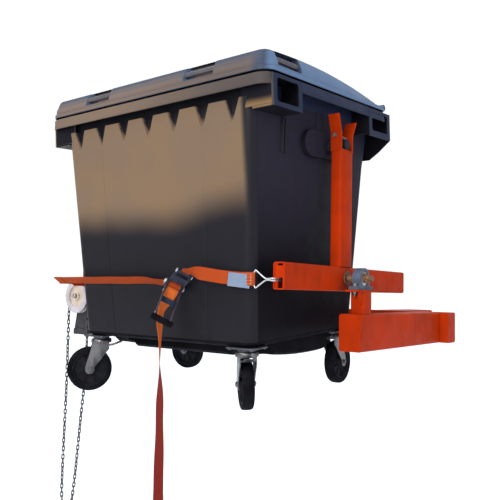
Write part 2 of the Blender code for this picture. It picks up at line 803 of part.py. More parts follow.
def pillow_block():
    """Cast bearing housing with two bolt feet."""
    foot = PEDESTAL_TOP + GAP
    shoulder = BLOCK_BOLT_SPREAD - WASHER_RADIUS
    half = BLOCK_HALF_LONG
    outline = [(-half, foot), (half, foot), (half, FOOT_TOP), (shoulder, FOOT_TOP)]
    outline += arc(BLOCK_RADIUS, *HOUSING_ARC) + [(-shoulder, FOOT_TOP), (-half, FOOT_TOP)]
    shape = prism(outline, BLOCK_MID - BLOCK_WIDE / 2, BLOCK_MID + BLOCK_WIDE / 2, "x")
    low, high = BLOCK_MID - BLOCK_WIDE, BLOCK_MID + BLOCK_WIDE
    shape = bored(shape, BEARING_OUTER + GAP, low, high, "x", steps=FINE_STEPS)
    for side in (-1, 1):
        centre = (BLOCK_MID, side * BLOCK_BOLT_SPREAD)
        shape = bored(shape, BOLT_RADIUS + RUNNING, foot - OVERRUN, FOOT_TOP + OVERRUN, "z", centre)
    piece("pillow_block_right", shape, CAST, attachment, (BLOCK_MID, 0, 0), CREASE)


def bearing_ring():
    """Bearing insert between the housing and the shaft."""
    low, high = BLOCK_MID - BEARING_WIDE / 2, BLOCK_MID + BEARING_WIDE / 2
    bore = SHAFT_RADIUS + GAP
    lip = BEARING_OUTER - BEARING_LIP
    profile = [(BEARING_OUTER, low + BEARING_STEP), (BEARING_OUTER, high - BEARING_STEP), (lip, high),
               (bore, high), (bore, low), (lip, low)]
    shape = turned(profile, "x", steps=FINE_STEPS, hollow=True)
    piece("bearing_ring_right", shape, STEEL, attachment, (BLOCK_MID, 0, 0), CREASE)


def block_bolt(name, side):
    """Hexagon bolt through the housing foot and the pedestal plate, with its washer and nut."""
    centre = (BLOCK_MID, side * BLOCK_BOLT_SPREAD)
    under = PEDESTAL_TOP - PEDESTAL_PLATE - GAP
    seat = FOOT_TOP + GAP
    shank = turned([(BOLT_RADIUS, under - BOLT_HEAD - BOLT_TAIL), (BOLT_RADIUS, seat + WASHER)], "z", centre)
    washer = turned([(WASHER_RADIUS, seat), (WASHER_RADIUS, seat + WASHER)], "z", centre)
    head = hexagon(BOLT_HEX, seat + WASHER / 2, seat + WASHER + BOLT_HEAD, "z", centre)
    nut = hexagon(BOLT_HEX, under - BOLT_HEAD, under, "z", centre)
    piece(name, joined(washer, head, shank, nut), ZINC, attachment, (*centre, seat), CREASE)


def shaft_right():
    """Turned pivot shaft welded to the right arm, with its locking collar outside the bearing."""
    start = ARM_OUTER + GAP
    collar = BLOCK_MID + BEARING_WIDE / 2 + RUNNING
    profile = [(SHAFT_FLANGE_RADIUS, start), (SHAFT_FLANGE_RADIUS, start + SHAFT_FLANGE),
               (SHAFT_RADIUS, start + SHAFT_FLANGE), (SHAFT_RADIUS, collar), (COLLAR_RADIUS, collar),
               (COLLAR_RADIUS, collar + COLLAR_WIDE), (SHAFT_RADIUS, collar + COLLAR_WIDE),
               (SHAFT_RADIUS, SHAFT_END - OVERRUN), (SHAFT_RADIUS - OVERRUN, SHAFT_END)]
    piece("pivot_shaft_right", turned(profile, "x", steps=FINE_STEPS), RUST, cradle, (0, 0, 0), CREASE)


def worm_output():
    """Worm wheel on the shaft that turns the left arm."""
    start = -(ARM_OUTER + GAP)
    low, high = WORM_X - WORM_WHEEL_WIDE / 2, WORM_X + WORM_WHEEL_WIDE / 2
    profile = [(SHAFT_FLANGE_RADIUS, start), (SHAFT_FLANGE_RADIUS, start - SHAFT_FLANGE),
               (OUTPUT_RADIUS, start - SHAFT_FLANGE), (OUTPUT_RADIUS, low - CASE_WALL)]
    shaft = turned(profile, "x", steps=FINE_STEPS)
    wheel = toothed(WORM_WHEEL_RADIUS, WORM_TOOTH, WORM_TEETH, low, high, "x")
    piece("worm_wheel_shaft_left", joined(wheel, shaft), STEEL, cradle, (0, 0, 0))


def gearbox_case():
    """Cast worm-gear case on the left box, open on its outer side for the cover."""
    inner_face = WORM_X + CASE_WIDE / 2
    outer_face = WORM_X - CASE_WIDE / 2
    foot = BOX_TOP + GAP
    shoulder = CASE_HALF * math.sin(math.radians(CASE_ARC[0]))
    outline = [(-CASE_HALF, foot), (CASE_HALF, foot)] + arc(CASE_TOP_RADIUS, *CASE_ARC)
    shape = prism(outline, outer_face, inner_face, "x")
    mouth = outer_face - OVERRUN
    depth = inner_face - CASE_WALL
    cavity = WORM_WHEEL_RADIUS + WORM_TOOTH / 2
    shape = bored(shape, cavity, mouth, depth, "x", steps=FINE_STEPS)
    trough = WORM_RADIUS + WORM_TOOTH / 2
    opening = box((mouth, -WORM_LONG / 2 - WORM_TOOTH, -WORM_DROP - trough),
                  (WORM_X + trough, WORM_LONG / 2 + WORM_TOOTH, shoulder))
    shape = cut(shape, opening)
    reach = CASE_HALF + OVERRUN
    shape = bored(shape, SHAFT_RADIUS + RUNNING, -reach, reach, "y", (WORM_X, -WORM_DROP))
    shape = bored(shape, OUTPUT_RADIUS + RUNNING, WORM_X, inner_face + OVERRUN, "x")
    piece("gearbox_case_left", shape, CAST, attachment, (WORM_X, 0, foot), CREASE)


def gearbox_cover():
    """Cover plate with its centre boss and bolt heads."""
    face = WORM_X - CASE_WIDE / 2 - GAP
    back = face - CASE_COVER
    foot = BOX_TOP + 4 * GAP
    radius = CASE_COVER_RADIUS
    root = back + CASE_WALL / 2
    shape = prism([(-radius, foot), (radius, foot)] + arc(radius, *CASE_ARC), back, face, "x")
    shape = joined(shape, turned([(CASE_BOSS_RADIUS, root), (CASE_BOSS_RADIUS, back - CASE_BOSS)], "x"))
    ring = radius - 2 * COVER_BOLT_RADIUS
    for step in range(COVER_BOLTS):
        angle = math.radians(180 * step / (COVER_BOLTS - 1))
        centre = (ring * math.cos(angle), ring * math.sin(angle))
        shape = joined(shape, hexagon(COVER_BOLT_RADIUS, root, back - COVER_BOLT_HIGH, "x", centre))
    piece("gearbox_cover_left", shape, CAST, attachment, (face, 0, 0), CREASE)


def worm_shaft(parent):
    """Input shaft along Y with the worm on it."""
    front = CHAIN_WHEEL_Y - WHEEL_HUB_LONG / 2 - DRIVE_TAIL
    back = CASE_HALF + DRIVE_TAIL
    end = WORM_LONG / 2
    profile = [(SHAFT_RADIUS - OVERRUN, front), (SHAFT_RADIUS, front + OVERRUN), (SHAFT_RADIUS, -end)]
    ridge = WORM_LONG / WORM_RIDGES
    for step in range(WORM_RIDGES):
        start = ridge * step - end
        for radius, share in zip((WORM_ROOT, WORM_RADIUS, WORM_RADIUS, WORM_ROOT), RIDGE_SHARES):
            profile.append((radius, start + ridge * share))
    profile += [(SHAFT_RADIUS, end), (SHAFT_RADIUS, back - OVERRUN), (SHAFT_RADIUS - OVERRUN, back)]
    shape = turned(profile, "y", (0, 0), ROUND_STEPS // 2)
    piece("worm_shaft_left", shape, STEEL, parent, (0, 0, 0), CREASE)


def chain_wheel(parent):
    """Grooved hand-chain wheel keyed to the front of the worm shaft."""
    mid = CHAIN_WHEEL_Y
    bore = SHAFT_RADIUS + GAP
    half = GROOVE_WIDE / 2
    hub, web = WHEEL_HUB_LONG / 2, WEB_WIDE / 2
    near = [(bore, hub), (WHEEL_HUB_RADIUS, hub), (WHEEL_HUB_RADIUS, web), (WEB_RADIUS, web),
            (WEB_RADIUS + web, half + FLANGE_ROOT),
            (CHAIN_WHEEL_RADIUS, half + FLANGE_EDGE), (CHAIN_WHEEL_RADIUS, half), (GROOVE_RADIUS, half)]
    profile = [(radius, mid - level) for radius, level in near]
    profile += [(radius, mid + level) for radius, level in reversed(near)]
    shape = turned(profile, "y", (0, 0), FINE_STEPS, hollow=True)
    piece("chain_wheel_left", shape, CREAM, parent, (0, mid, 0), CREASE)


def drive_bracket():
    """Black bearing bracket for the chain-wheel shaft, on a sole that stands on the tongue."""
    front = CHAIN_WHEEL_Y + WHEEL_HUB_LONG / 2 + BRACKET_GAP
    back = front + BRACKET_PLATE
    sole_top = TONGUE_TOP + GAP + BRACKET_SOLE
    neck = [(WORM_X - BRACKET_FOOT / 2, sole_top - PROUD), (WORM_X + BRACKET_FOOT / 2, sole_top - PROUD),
            (WORM_X + BRACKET_NECK / 2, -WORM_DROP - BRACKET_EYE_RADIUS / 2),
            (WORM_X - BRACKET_NECK / 2, -WORM_DROP - BRACKET_EYE_RADIUS / 2)]
    shape = prism(neck, front, back, "y")
    eye_front, eye_back = front - BRACKET_GAP / 2, back + BRACKET_GAP / 2
    centre = (WORM_X, -WORM_DROP)
    eye = turned([(BRACKET_EYE_RADIUS, eye_front), (BRACKET_EYE_RADIUS, eye_back)], "y", centre)
    sole = box((WORM_X - BRACKET_FOOT / 2 + PROUD, front - PROUD, TONGUE_TOP + GAP),
               (WORM_X + BRACKET_FOOT / 2 - PROUD, front + BRACKET_SOLE_LONG, sole_top))
    low, high = front - BRACKET_GAP, back + BRACKET_GAP
    shape = bored(joined(shape, eye, sole), SHAFT_RADIUS + RUNNING, low, high, "y", centre)
    piece("drive_bracket_left", shape, BLACK, attachment, (WORM_X, front, TONGUE_TOP), CREASE)


def drive_tongue():
    """Hollow tongue that carries the drive bracket ahead of the left box."""
    low = (WORM_X - BRACKET_FOOT / 2, BOX_BOTTOM)
    high = (WORM_X + BRACKET_FOOT / 2, TONGUE_TOP)
    outer, inner = section(low, high, TONGUE_WALL, TONGUE_WALL)
    shape = cup(outer, inner, CHAIN_WHEEL_Y + WHEEL_HUB_LONG / 2, BOX_FRONT - GAP, TONGUE_WALL, "y")
    piece("drive_tongue_left", shape, BLACK, attachment, (WORM_X, BOX_FRONT, TONGUE_TOP))


def chain_over_wheel():
    """The part of the hand chain that lies in the wheel's groove, over the top."""
    rings = []
    for step in range(ROUND_STEPS + 1):
        angle = math.pi * step / ROUND_STEPS
        outward = Vector((math.cos(angle), 0, math.sin(angle)))
        centre = Vector((WORM_X, CHAIN_WHEEL_Y, -WORM_DROP)) + CHAIN_PITCH_RADIUS * outward
        ring = arc(CHAIN_WIDE / 2, *WHOLE_ARC)
        rings.append([centre + outward * out + Vector((0, level, 0)) for out, level in ring])
    piece("hand_chain_over_wheel", loft(rings), CHAIN, attachment, (0, 0, 0), SOFT_CREASE)


CHAIN_ROUTE = [(-0.8065, -0.298, -0.1003), (-0.8065, -0.298, -0.130), (-0.8050, -0.298, -0.300),
               (-0.8030, -0.298, -0.560), (-0.8080, -0.298, -0.860), (-0.8090, -0.298, -1.040),
               (-0.8040, -0.298, -1.120), (-0.7850, -0.298, -1.163), (-0.7580, -0.298, -1.170),
               (-0.7330, -0.298, -1.140), (-0.7180, -0.298, -1.060), (-0.7050, -0.298, -0.960),
               (-0.6780, -0.298, -0.680), (-0.6630, -0.298, -0.540), (-0.6540, -0.298, -0.340),
               (-0.6570, -0.298, -0.200), (-0.6635, -0.298, -0.130), (-0.6635, -0.298, -0.1003)]
CHAIN_POINTS = 44


def hand_chain():
    """The hanging loop of the hand chain, as a plain tube along its route."""
    route = [CHAIN_ROUTE[0], *smooth_path(CHAIN_ROUTE[1:-1], CHAIN_POINTS - 2), CHAIN_ROUTE[-1]]
    line = bpy.data.curves.new("hand_chain", "CURVE")
    line.dimensions = "3D"
    line.bevel_depth = CHAIN_WIDE / 2
    line.bevel_resolution = 2
    line.use_fill_caps = True
    spline = line.splines.new("POLY")
    spline.points.add(len(route) - 1)
    for point, place in zip(spline.points, route):
        point.co = (*place, 1.0)
    line.materials.append(CHAIN)
    made = bpy.data.objects.new("hand_chain", line)
    bpy.context.collection.objects.link(made)
    made.parent = attachment


def arm(name, side):
    """Rolled arm of the cradle; the right one has a slotted end plate for the strap hook."""
    front = ARM_FRONT if side > 0 else ARM_FRONT_LEFT
    outer, inner = section((ARM_INNER, ARM_BOTTOM), (ARM_OUTER, ARM_TOP), ARM_ROUND, ARM_WALL)
    shape = tube(outer, inner, front, ARM_BACK, "y")
    if side > 0:
        skin = ARM_WALL / 2
        start = front + END_PLATE_RECESS
        plate = box((ARM_INNER + skin, start, ARM_BOTTOM + skin),
                    (ARM_OUTER - skin, start + END_PLATE, ARM_TOP - skin))
        shape = joined(shape, plate)
        inside_low, inside_high = ARM_BOTTOM + ARM_WALL, ARM_TOP - ARM_WALL
        for low, high in ((inside_low, LOWER_SLOT_TOP), (UPPER_SLOT_LOW, inside_high)):
            shape = cut(shape, box((ARM_INNER + SLOT_INNER, front - OVERRUN, low),
                                   (ARM_INNER + SLOT_INNER + SLOT_WIDE, start + END_PLATE + OVERRUN, high)))
    else:
        shape = mirrored(shape)
    piece(name, shape, ORANGE, cradle, (side * ARM_CENTRE, 0, ARM_MID))


def post(name, side):
    """Upright on an arm, shut at the top."""
    outer, inner = section((ARM_INNER, POST_FRONT), (ARM_OUTER, POST_FRONT + POST_DEEP), ARM_ROUND, ARM_WALL)
    shape = cup(outer, inner, POST_TOP, ARM_TOP + GAP, POST_CAP, "z")
    if side < 0:
        shape = mirrored(shape)
    piece(name, shape, ORANGE, cradle, (side * ARM_CENTRE, 0, ARM_TOP))


def saddle(name, side):
    """Trunnion saddle: a base on the post with two flared guide plates, drilled for the lock pin."""
    base = POST_TOP + GAP
    front, back = POST_FRONT, POST_FRONT + POST_DEEP
    thick = SADDLE_PLATE
    far_back, far_front = back + SADDLE_FLARE_BACK, front - SADDLE_FLARE_FRONT
    outline = [(front, base), (back, base), (back, SADDLE_BEND), (far_back, SADDLE_TOP_BACK),
               (far_back - thick, SADDLE_TOP_BACK), (back - thick, SADDLE_BEND),
               (back - thick, base + thick), (front + thick, base + thick), (front + thick, SADDLE_BEND),
               (far_front + thick, SADDLE_TOP_FRONT), (far_front, SADDLE_TOP_FRONT), (front, SADDLE_BEND)]
    shape = prism(outline, ARM_INNER, ARM_OUTER, "x")
    centre = (ARM_OUTER - LOCK_PIN_INSET, LOCK_PIN_HIGH)
    shape = bored(shape, LOCK_PIN_RADIUS + RUNNING, front - 2 * thick, back + 2 * thick, "y", centre)
    if side < 0:
        shape = mirrored(shape)
    piece(name, shape, ORANGE, cradle, (side * ARM_CENTRE, 0, POST_TOP))


def lock_pin(name, side, parent):
    """Pin across the saddle above the trunnion, with its head in front and a ring behind."""
    front, back = POST_FRONT - GAP, POST_FRONT + POST_DEEP
    end = back + LOCK_TAIL_LONG
    profile = [(LOCK_HEAD_RADIUS, front - LOCK_HEAD_LONG), (LOCK_HEAD_RADIUS, front),
               (LOCK_PIN_RADIUS, front), (LOCK_PIN_RADIUS, end)]
    shape = turned(profile, "y", (0, 0), ROUND_STEPS // 2)
    middle = Vector((0, end - LOCK_PIN_RADIUS, -RING_RADIUS))
    loop = []
    for step in range(FINE_STEPS):
        angle = 2 * math.pi * step / FINE_STEPS
        outward = Vector((math.sin(angle), 0, math.cos(angle)))
        centre = middle + outward * RING_RADIUS
        wire = arc(RING_WIRE, *HEX_ARC)
        loop.append([centre + outward * out + Vector((0, level, 0)) for out, level in wire])
    shape = joined(shape, loft(loop, closed=True))
    if side < 0:
        shape = mirrored(shape)
    piece(name, shape, STEEL, parent, (0, 0, 0), CREASE)


def cross_tube():
    """Tube behind the bin that makes both arms turn as one."""
    low = (ARM_BACK - CROSS_TUBE_DEEP, ARM_BOTTOM)
    outer, inner = section(low, (ARM_BACK, ARM_TOP), ARM_ROUND, ARM_WALL)
    end = ARM_INNER - GAP
    piece("cradle_cross_tube", tube(outer, inner, -end, end, "x"), ORANGE, cradle, (0, ARM_BACK, ARM_MID))


def strap_anchor():
    """Plate ahead of the left arm with the tab that the strap's left end is fixed to."""
    tab_y = STRAP_LEFT_Y - STRAP_LEFT_SIDE[1] * STRAP_WIDE / 2 + STRAP_THICK / 3 + GAP
    inner = ANCHOR_X
    outer = ANCHOR_X - ANCHOR_PLATE
    back = ARM_FRONT_LEFT - GAP
    tab_back = tab_y + ANCHOR_PLATE / 2
    outline = [(inner, back), (inner, tab_y), (ANCHOR_TAB_END, tab_y), (ANCHOR_TAB_END, tab_back),
               (outer, tab_back), (outer, back)]
    shape = prism(outline, ANCHOR_LOW, ANCHOR_TOP, "z")
    step = ANCHOR_STEP_Y - ANCHOR_PLATE
    web = [(back, ANCHOR_TOP - PROUD), (back, ANCHOR_DEEP_LOW), (ANCHOR_STEP_Y, ANCHOR_DEEP_LOW),
           (step, ANCHOR_LOW + PROUD), (step, ANCHOR_TOP - PROUD)]
    shape = joined(shape, prism(web, outer + PROUD, inner - PROUD, "x"))
    piece("strap_anchor_left", shape, ORANGE, cradle, (ANCHOR_X, ARM_FRONT_LEFT, ANCHOR_TOP))


def into_bin(across, up):
    """A Y and Z place in the square frame, given in the bin's leaning frame."""
    lean = math.radians(LEAN)
    return across * math.cos(lean) + up * math.sin(lean), up * math.cos(lean) - across * math.sin(lean)


def between(z, low, high):
    """A body size at height z, from its values at the foot and under the rim."""
    return low + (high - low) * (z - BODY_LOW) / (RIM_LOW - BODY_LOW)


def body_plan(z, inset=0.0):
    """Half width, front, back and corner radius of the body's outside at height z, drawn in by inset."""
    half = between(z, BODY_LOW_HALF, BODY_TOP_HALF) - inset
    front = between(z, BODY_LOW_FRONT, BODY_TOP_FRONT) + inset
    back = between(z, BODY_LOW_BACK, BODY_TOP_BACK) - inset
    return half, front, back, BODY_CORNER - min(inset, BODY_CORNER / 2)


def bin_ring(plan, z, notch_share=0.0, ledge=False, proud=0.0):
    """One ring of the bin: a round-cornered plan with the notched front wall."""
    half, front, back, radius = plan
    straight = half - radius
    notch = max(NOTCH_HALF * notch_share, NOTCH_LEAST)
    deep = NOTCH_DEEP * notch_share
    centre_share = NOTCH_PITCH / (BODY_TOP_HALF - BODY_CORNER)
    points = []
    for number in range(NOTCHES):
        place = number - (NOTCHES - 1) / 2
        centre = place * centre_share * straight
        for offset, depth in ((-notch, 0.0), (-notch / 2, deep), (notch / 2, deep), (notch, 0.0)):
            on_panel = abs(place) < 2 or place * offset < 0 and abs(place) == 2
            lift = proud if on_panel and not depth else 0.0
            points.append((centre + offset, front + (NOTCH_DEEP if ledge else depth - lift), z))
    corners = ((straight, front + radius, -90), (straight, back - radius, 0),
               (-straight, back - radius, 90), (-straight, front + radius, 180))
    for across, up, start in corners:
        front_side = up == front + radius
        for step in range(CORNER_STEPS + 1):
            angle = math.radians(start + 90 * step / CORNER_STEPS)
            y = up + radius * math.sin(angle)
            if ledge and front_side:
                y = max(y, front + NOTCH_DEEP)
            points.append((across + radius * math.cos(angle), y, z))
    return points


def rim_plan(inset):
    """The rim's own outline, drawn in by inset."""
    return RIM_HALF - inset, RIM_FRONT + inset, RIM_BACK - inset, RIM_CORNER - inset


def sump_plan(inset):
    """The dropped middle of the floor, drawn in by inset."""
    return SUMP_HALF - inset, SUMP_FRONT + inset, SUMP_BACK - inset, BODY_CORNER


def bin_body():
    """Moulded tub: walls of one thickness, notched front, dropped floor, channel rim and four end loops."""
    wall = BIN_WALL
    shelf = RIM_TOP - RIM_SHELF
    foot = body_plan(BODY_LOW)
    toe = (foot[0] - BODY_FOOT, foot[1] + BODY_FOOT, foot[2] - BODY_FOOT, foot[3])
    rise = BODY_LOW + BODY_FOOT
    top = body_plan(RIM_LOW)
    rings = [bin_ring(sump_plan(SUMP_DRAFT), BODY_LOW - SUMP_DROP), bin_ring(sump_plan(0), BODY_LOW),
             bin_ring(toe, BODY_LOW), bin_ring(body_plan(rise), rise, proud=PANEL_PROUD),
             bin_ring(body_plan(NOTCH_TIP), NOTCH_TIP, proud=PANEL_PROUD),
             bin_ring(body_plan(NOTCH_TOP), NOTCH_TOP, 1.0, proud=PANEL_PROUD),
             bin_ring(body_plan(NOTCH_TOP + LEDGE), NOTCH_TOP + LEDGE, 1.0, ledge=True),
             bin_ring(top, shelf, 1.0, ledge=True), bin_ring(rim_plan(RIM_LIP), shelf),
             bin_ring(rim_plan(RIM_LIP), RIM_LOW), bin_ring(rim_plan(0), RIM_LOW),
             bin_ring(rim_plan(0), RIM_TOP - RIM_SHELF / 2), bin_ring(rim_plan(RIM_SHELF / 2), RIM_TOP),
             bin_ring(body_plan(RIM_LOW, wall), RIM_TOP, 1.0, ledge=True),
             bin_ring(body_plan(RIM_LOW, wall), NOTCH_TOP + LEDGE - LEDGE_DROP, 1.0, ledge=True),
             bin_ring(body_plan(NOTCH_TOP, wall), NOTCH_TOP - LEDGE_DROP, 1.0, proud=PANEL_PROUD),
             bin_ring(body_plan(NOTCH_TIP, wall), NOTCH_TIP, proud=PANEL_PROUD),
             bin_ring(body_plan(rise, wall), rise, proud=PANEL_PROUD),
             bin_ring((toe[0] - wall / 2, toe[1] + wall / 2, toe[2] - wall / 2, toe[3]), BODY_LOW + wall),
             bin_ring(sump_plan(wall), BODY_LOW + wall),
             bin_ring(sump_plan(SUMP_DRAFT + wall / 2), BODY_LOW - SUMP_DROP + wall)]
    shape = loft(rings)
    face = RIM_HALF + PROUD
    for side in (-1, 1):
        for loop, opening in ((NEAR_LOOP, NEAR_OPENING), (REAR_LOOP, REAR_OPENING)):
            loop_top = RIM_TOP - 2 * RIM_SHELF / 3
            frame = box((face - HANDLE_PLATE, loop[0], loop[2]), (face, loop[1], loop_top))
            for web_y in (loop[0] + PROUD, loop[1] - HANDLE_PLATE - PROUD):
                web_z = loop[2] + HANDLE_PLATE
                inner = between(web_z, BODY_LOW_HALF, BODY_TOP_HALF) - wall / 2
                high_inner = between(shelf, BODY_LOW_HALF, BODY_TOP_HALF) - wall / 2
                if web_y > loop[0] + HANDLE_PLATE and loop is REAR_LOOP:
                    continue
                edge, web_top = face - 2 * PROUD, loop_top + PROUD
                outline = [(inner, web_z), (edge, web_z), (edge, web_top), (high_inner, web_top)]
                frame = joined(frame, prism(outline, web_y, web_y + HANDLE_PLATE, "y"))
            space = box((face - HANDLE_PLATE - OVERRUN, opening[0], opening[2]),
                        (face + OVERRUN, opening[1], opening[3]))
            if side < 0:
                frame, space = mirrored(frame), mirrored(space)
            shape = cut(joined(shape, frame), space)
        for share in REAR_RIB_SHARES:
            middle = side * share * BODY_TOP_HALF
            low_back = between(RIB_LOW, BODY_LOW_BACK, BODY_TOP_BACK) - wall / 2
            high_back = between(shelf, BODY_LOW_BACK, BODY_TOP_BACK) - wall / 2
            lip, rib_top = RIM_BACK - RIM_LIP / 2, shelf + RIM_SHELF / 2
            rib = [(low_back, RIB_LOW), (lip, RIM_LOW - REAR_RIB_DROP), (lip, rib_top), (high_back, rib_top)]
            shape = joined(shape, prism(rib, middle - REAR_RIB / 2, middle + REAR_RIB / 2, "x"))
        for spread in LUG_SPREAD:
            face_x = side * (spread - LUG_WIDE / 2 - LUG_GAP)
            low_x, high_x = sorted((face_x, face_x - side * LUG_PLATE))
            shape = joined(shape, hinge_lug(low_x, high_x, RIM_LOW + RIM_SHELF))
            centre = (HINGE_Y, HINGE_Z)
            shape = bored(shape, HINGE_ROD + RUNNING, low_x - OVERRUN, high_x + OVERRUN, "x", centre)
    piece("bin_body", shape, CHARCOAL, bin_pose, (0, 0, BODY_LOW), CREASE)


def hinge_lug(low_x, high_x, root):
    """An upright hinge lug behind the rim, round at its top."""
    inner = RIM_BACK - RIM_LIP / 2
    outline = [(inner, root), (HINGE_Y + LUG_RADIUS, root + LUG_RADIUS)]
    outline += arc(LUG_RADIUS, *LUG_ARC, (HINGE_Y, HINGE_Z))
    outline += [(RIM_BACK + PROUD, RIM_TOP), (inner, RIM_TOP - RIM_SHELF / 2)]
    return prism(outline, low_x, high_x, "x")


def lid_height(y):
    """Height of the lid's shoulder, which falls towards the hinge."""
    return LID_CROWN - LID_FALL * (y - LID_CREST_Y) ** 2


def lid_ring(inset, height, sides=8):
    """One symmetric ring of the lid; height is a level or a function of Y."""
    half, front, back = RIM_HALF - OVERRUN - inset, RIM_FRONT + OVERRUN + inset, RIM_BACK - OVERRUN - inset
    radius = max(LID_CORNER - inset, LID_CORNER / 4)
    right = []
    for step in range(CORNER_STEPS + 1):
        angle = math.radians(-90 + 90 * step / CORNER_STEPS)
        right.append((half - radius + radius * math.cos(angle), front + radius + radius * math.sin(angle)))
    for step in range(1, sides):
        right.append((half, front + radius + (back - front - 2 * radius) * step / sides))
    for step in range(CORNER_STEPS + 1):
        angle = math.radians(90 * step / CORNER_STEPS)
        right.append((half - radius + radius * math.cos(angle), back - radius + radius * math.sin(angle)))
    plan = right + [(-x, y) for x, y in reversed(right)]
    return [(x, y, height(y) if callable(height) else height) for x, y in plan]


def lid_shell(inset, drop, low):
    """The lid's skin, drawn in and lowered for its inside."""
    crease = RIM_TOP + LID_GAP + LID_EDGE

    def side_height(fall, least):
        return lambda y: max(lid_height(y) - fall, crease + least) - drop

    foot = inset + LID_STEP
    rings = [lid_ring(inset, low), lid_ring(inset, crease - drop), lid_ring(foot, crease + OVERRUN - drop),
             lid_ring(foot + LID_SIDE_DRAFT / 2, side_height(LID_SHOULDER, 2 * OVERRUN)),
             lid_ring(foot + LID_SIDE_DRAFT, side_height(LID_SHOULDER / 4, 3 * OVERRUN)),
             lid_ring(foot + 2 * LID_SIDE_DRAFT, side_height(0, 4 * OVERRUN))]
    return loft(rings, strips=True)


def pocket_boxes(grow):
    """The four hand pockets, drawn larger by grow for the lid's inside."""
    top = LID_CROWN + LID_SHOULDER
    boxes = []
    for side in (-1, 1):
        middle = side * POCKET_X
        reach = POCKET_WIDE / 2 + grow
        boxes.append(box((middle - reach, RIM_FRONT - LID_SHOULDER, POCKET_FLOOR - grow),
                         (middle + reach, RIM_FRONT + POCKET_DEEP + grow, top)))
        low_x, high_x = sorted((side * (RIM_HALF - POCKET_DEEP - grow), side * (RIM_HALF + LID_SHOULDER)))
        low_y, high_y = POCKET_END_Y - reach, POCKET_END_Y + reach
        boxes.append(box((low_x, low_y, POCKET_FLOOR - grow), (high_x, high_y, top)))
    return boxes


def bin_lid():
    """Moulded lid: a thin crowned shell with hand pockets, grips and hinge lugs."""
    edge = RIM_TOP + LID_GAP
    outer = lid_shell(0, 0, edge)
    inner = lid_shell(LID_WALL, LID_WALL, edge - OVERRUN)
    inner = cut(inner, *pocket_boxes(LID_WALL))
    shape = cut(outer, inner)
    shape = cut(shape, *pocket_boxes(0))
    for side in (-1, 1):
        middle = side * POCKET_X
        reach = POCKET_WIDE / 2 + LID_WALL / 2
        near = RIM_FRONT + GRIP_INSET
        grip_top = GRIP_LOW + GRIP_HIGH
        grip = rounded((near, GRIP_LOW), (near + GRIP_THICK, grip_top), GRIP_THICK / 3, GRIP_STEPS)
        shape = joined(shape, prism(grip, middle - reach, middle + reach, "x"))
        near = RIM_HALF - GRIP_INSET
        low_x, high_x = sorted((side * near, side * (near - GRIP_THICK)))
        grip = rounded((low_x, GRIP_LOW), (high_x, grip_top), GRIP_THICK / 3, GRIP_STEPS)
        shape = joined(shape, prism(grip, POCKET_END_Y - reach, POCKET_END_Y + reach, "y"))
        for spread in LUG_SPREAD:
            low_x = side * spread - LUG_WIDE / 2
            high_x = low_x + LUG_WIDE
            root = RIM_BACK - OVERRUN - LID_WALL / 2
            outline = [(root, RIM_TOP + LID_GAP + PROUD)] + arc(LUG_RADIUS, *LID_LUG_ARC, (HINGE_Y, HINGE_Z))
            outline.append((root - LUG_RADIUS, lid_height(root) - LID_WALL / 2))
            shape = joined(shape, prism(outline, low_x, high_x, "x"))
            centre = (HINGE_Y, HINGE_Z)
            shape = bored(shape, HINGE_ROD + RUNNING, low_x - OVERRUN, high_x + OVERRUN, "x", centre)
    piece("bin_lid", shape, LID_PLASTIC, bin_pose, (0, HINGE_Y, HINGE_Z), CREASE)


def hinge_rod():
    """Rod through all the lid's hinge lugs."""
    end = LUG_SPREAD[0] + LUG_WIDE / 2 + LUG_GAP
    shape = turned([(HINGE_ROD, -end), (HINGE_ROD, end)], "x", (HINGE_Y, HINGE_Z), ROUND_STEPS // 2)
    piece("lid_hinge_rod", shape, ZINC, bin_pose, (0, HINGE_Y, HINGE_Z), CREASE)


def trunnion(name, side):
    """Moulded end boss with the lifting trunnion, fitted against the sloping end wall."""
    y, z = into_bin(TRUNNION_Y, TRUNNION_Z)
    outline = []
    for centre, start in ((BOSS_HALF_LONG - BOSS_HALF_HIGH, -90), (BOSS_HALF_HIGH - BOSS_HALF_LONG, 90)):
        for step in range(BOSS_STEPS + 1):
            angle = math.radians(start + 180 * step / BOSS_STEPS)
            across = y + centre + BOSS_HALF_HIGH * math.cos(angle)
            outline.append((across, z + BOSS_HALF_HIGH * math.sin(angle)))
    inner = [(between(up, BODY_LOW_HALF, BODY_TOP_HALF) + GAP, across, up) for across, up in outline]
    face = between(z, BODY_LOW_HALF, BODY_TOP_HALF) + BOSS_PROUD
    shape = loft([inner, [(face, across, up) for across, up in outline]])
    profile = [(TRUNNION_COLLAR, face - BOSS_PROUD / 2), (TRUNNION_COLLAR, face + TRUNNION_COLLAR / 4),
               (TRUNNION_RADIUS, face + TRUNNION_COLLAR / 3), (TRUNNION_RADIUS, TRUNNION_END - OVERRUN),
               (TRUNNION_RADIUS - OVERRUN, TRUNNION_END)]
    shape = joined(shape, turned(profile, "x", (y, z)))
    if side < 0:
        shape = mirrored(shape)
    piece(name, shape, CHARCOAL, bin_pose, (0, y, z), CREASE)


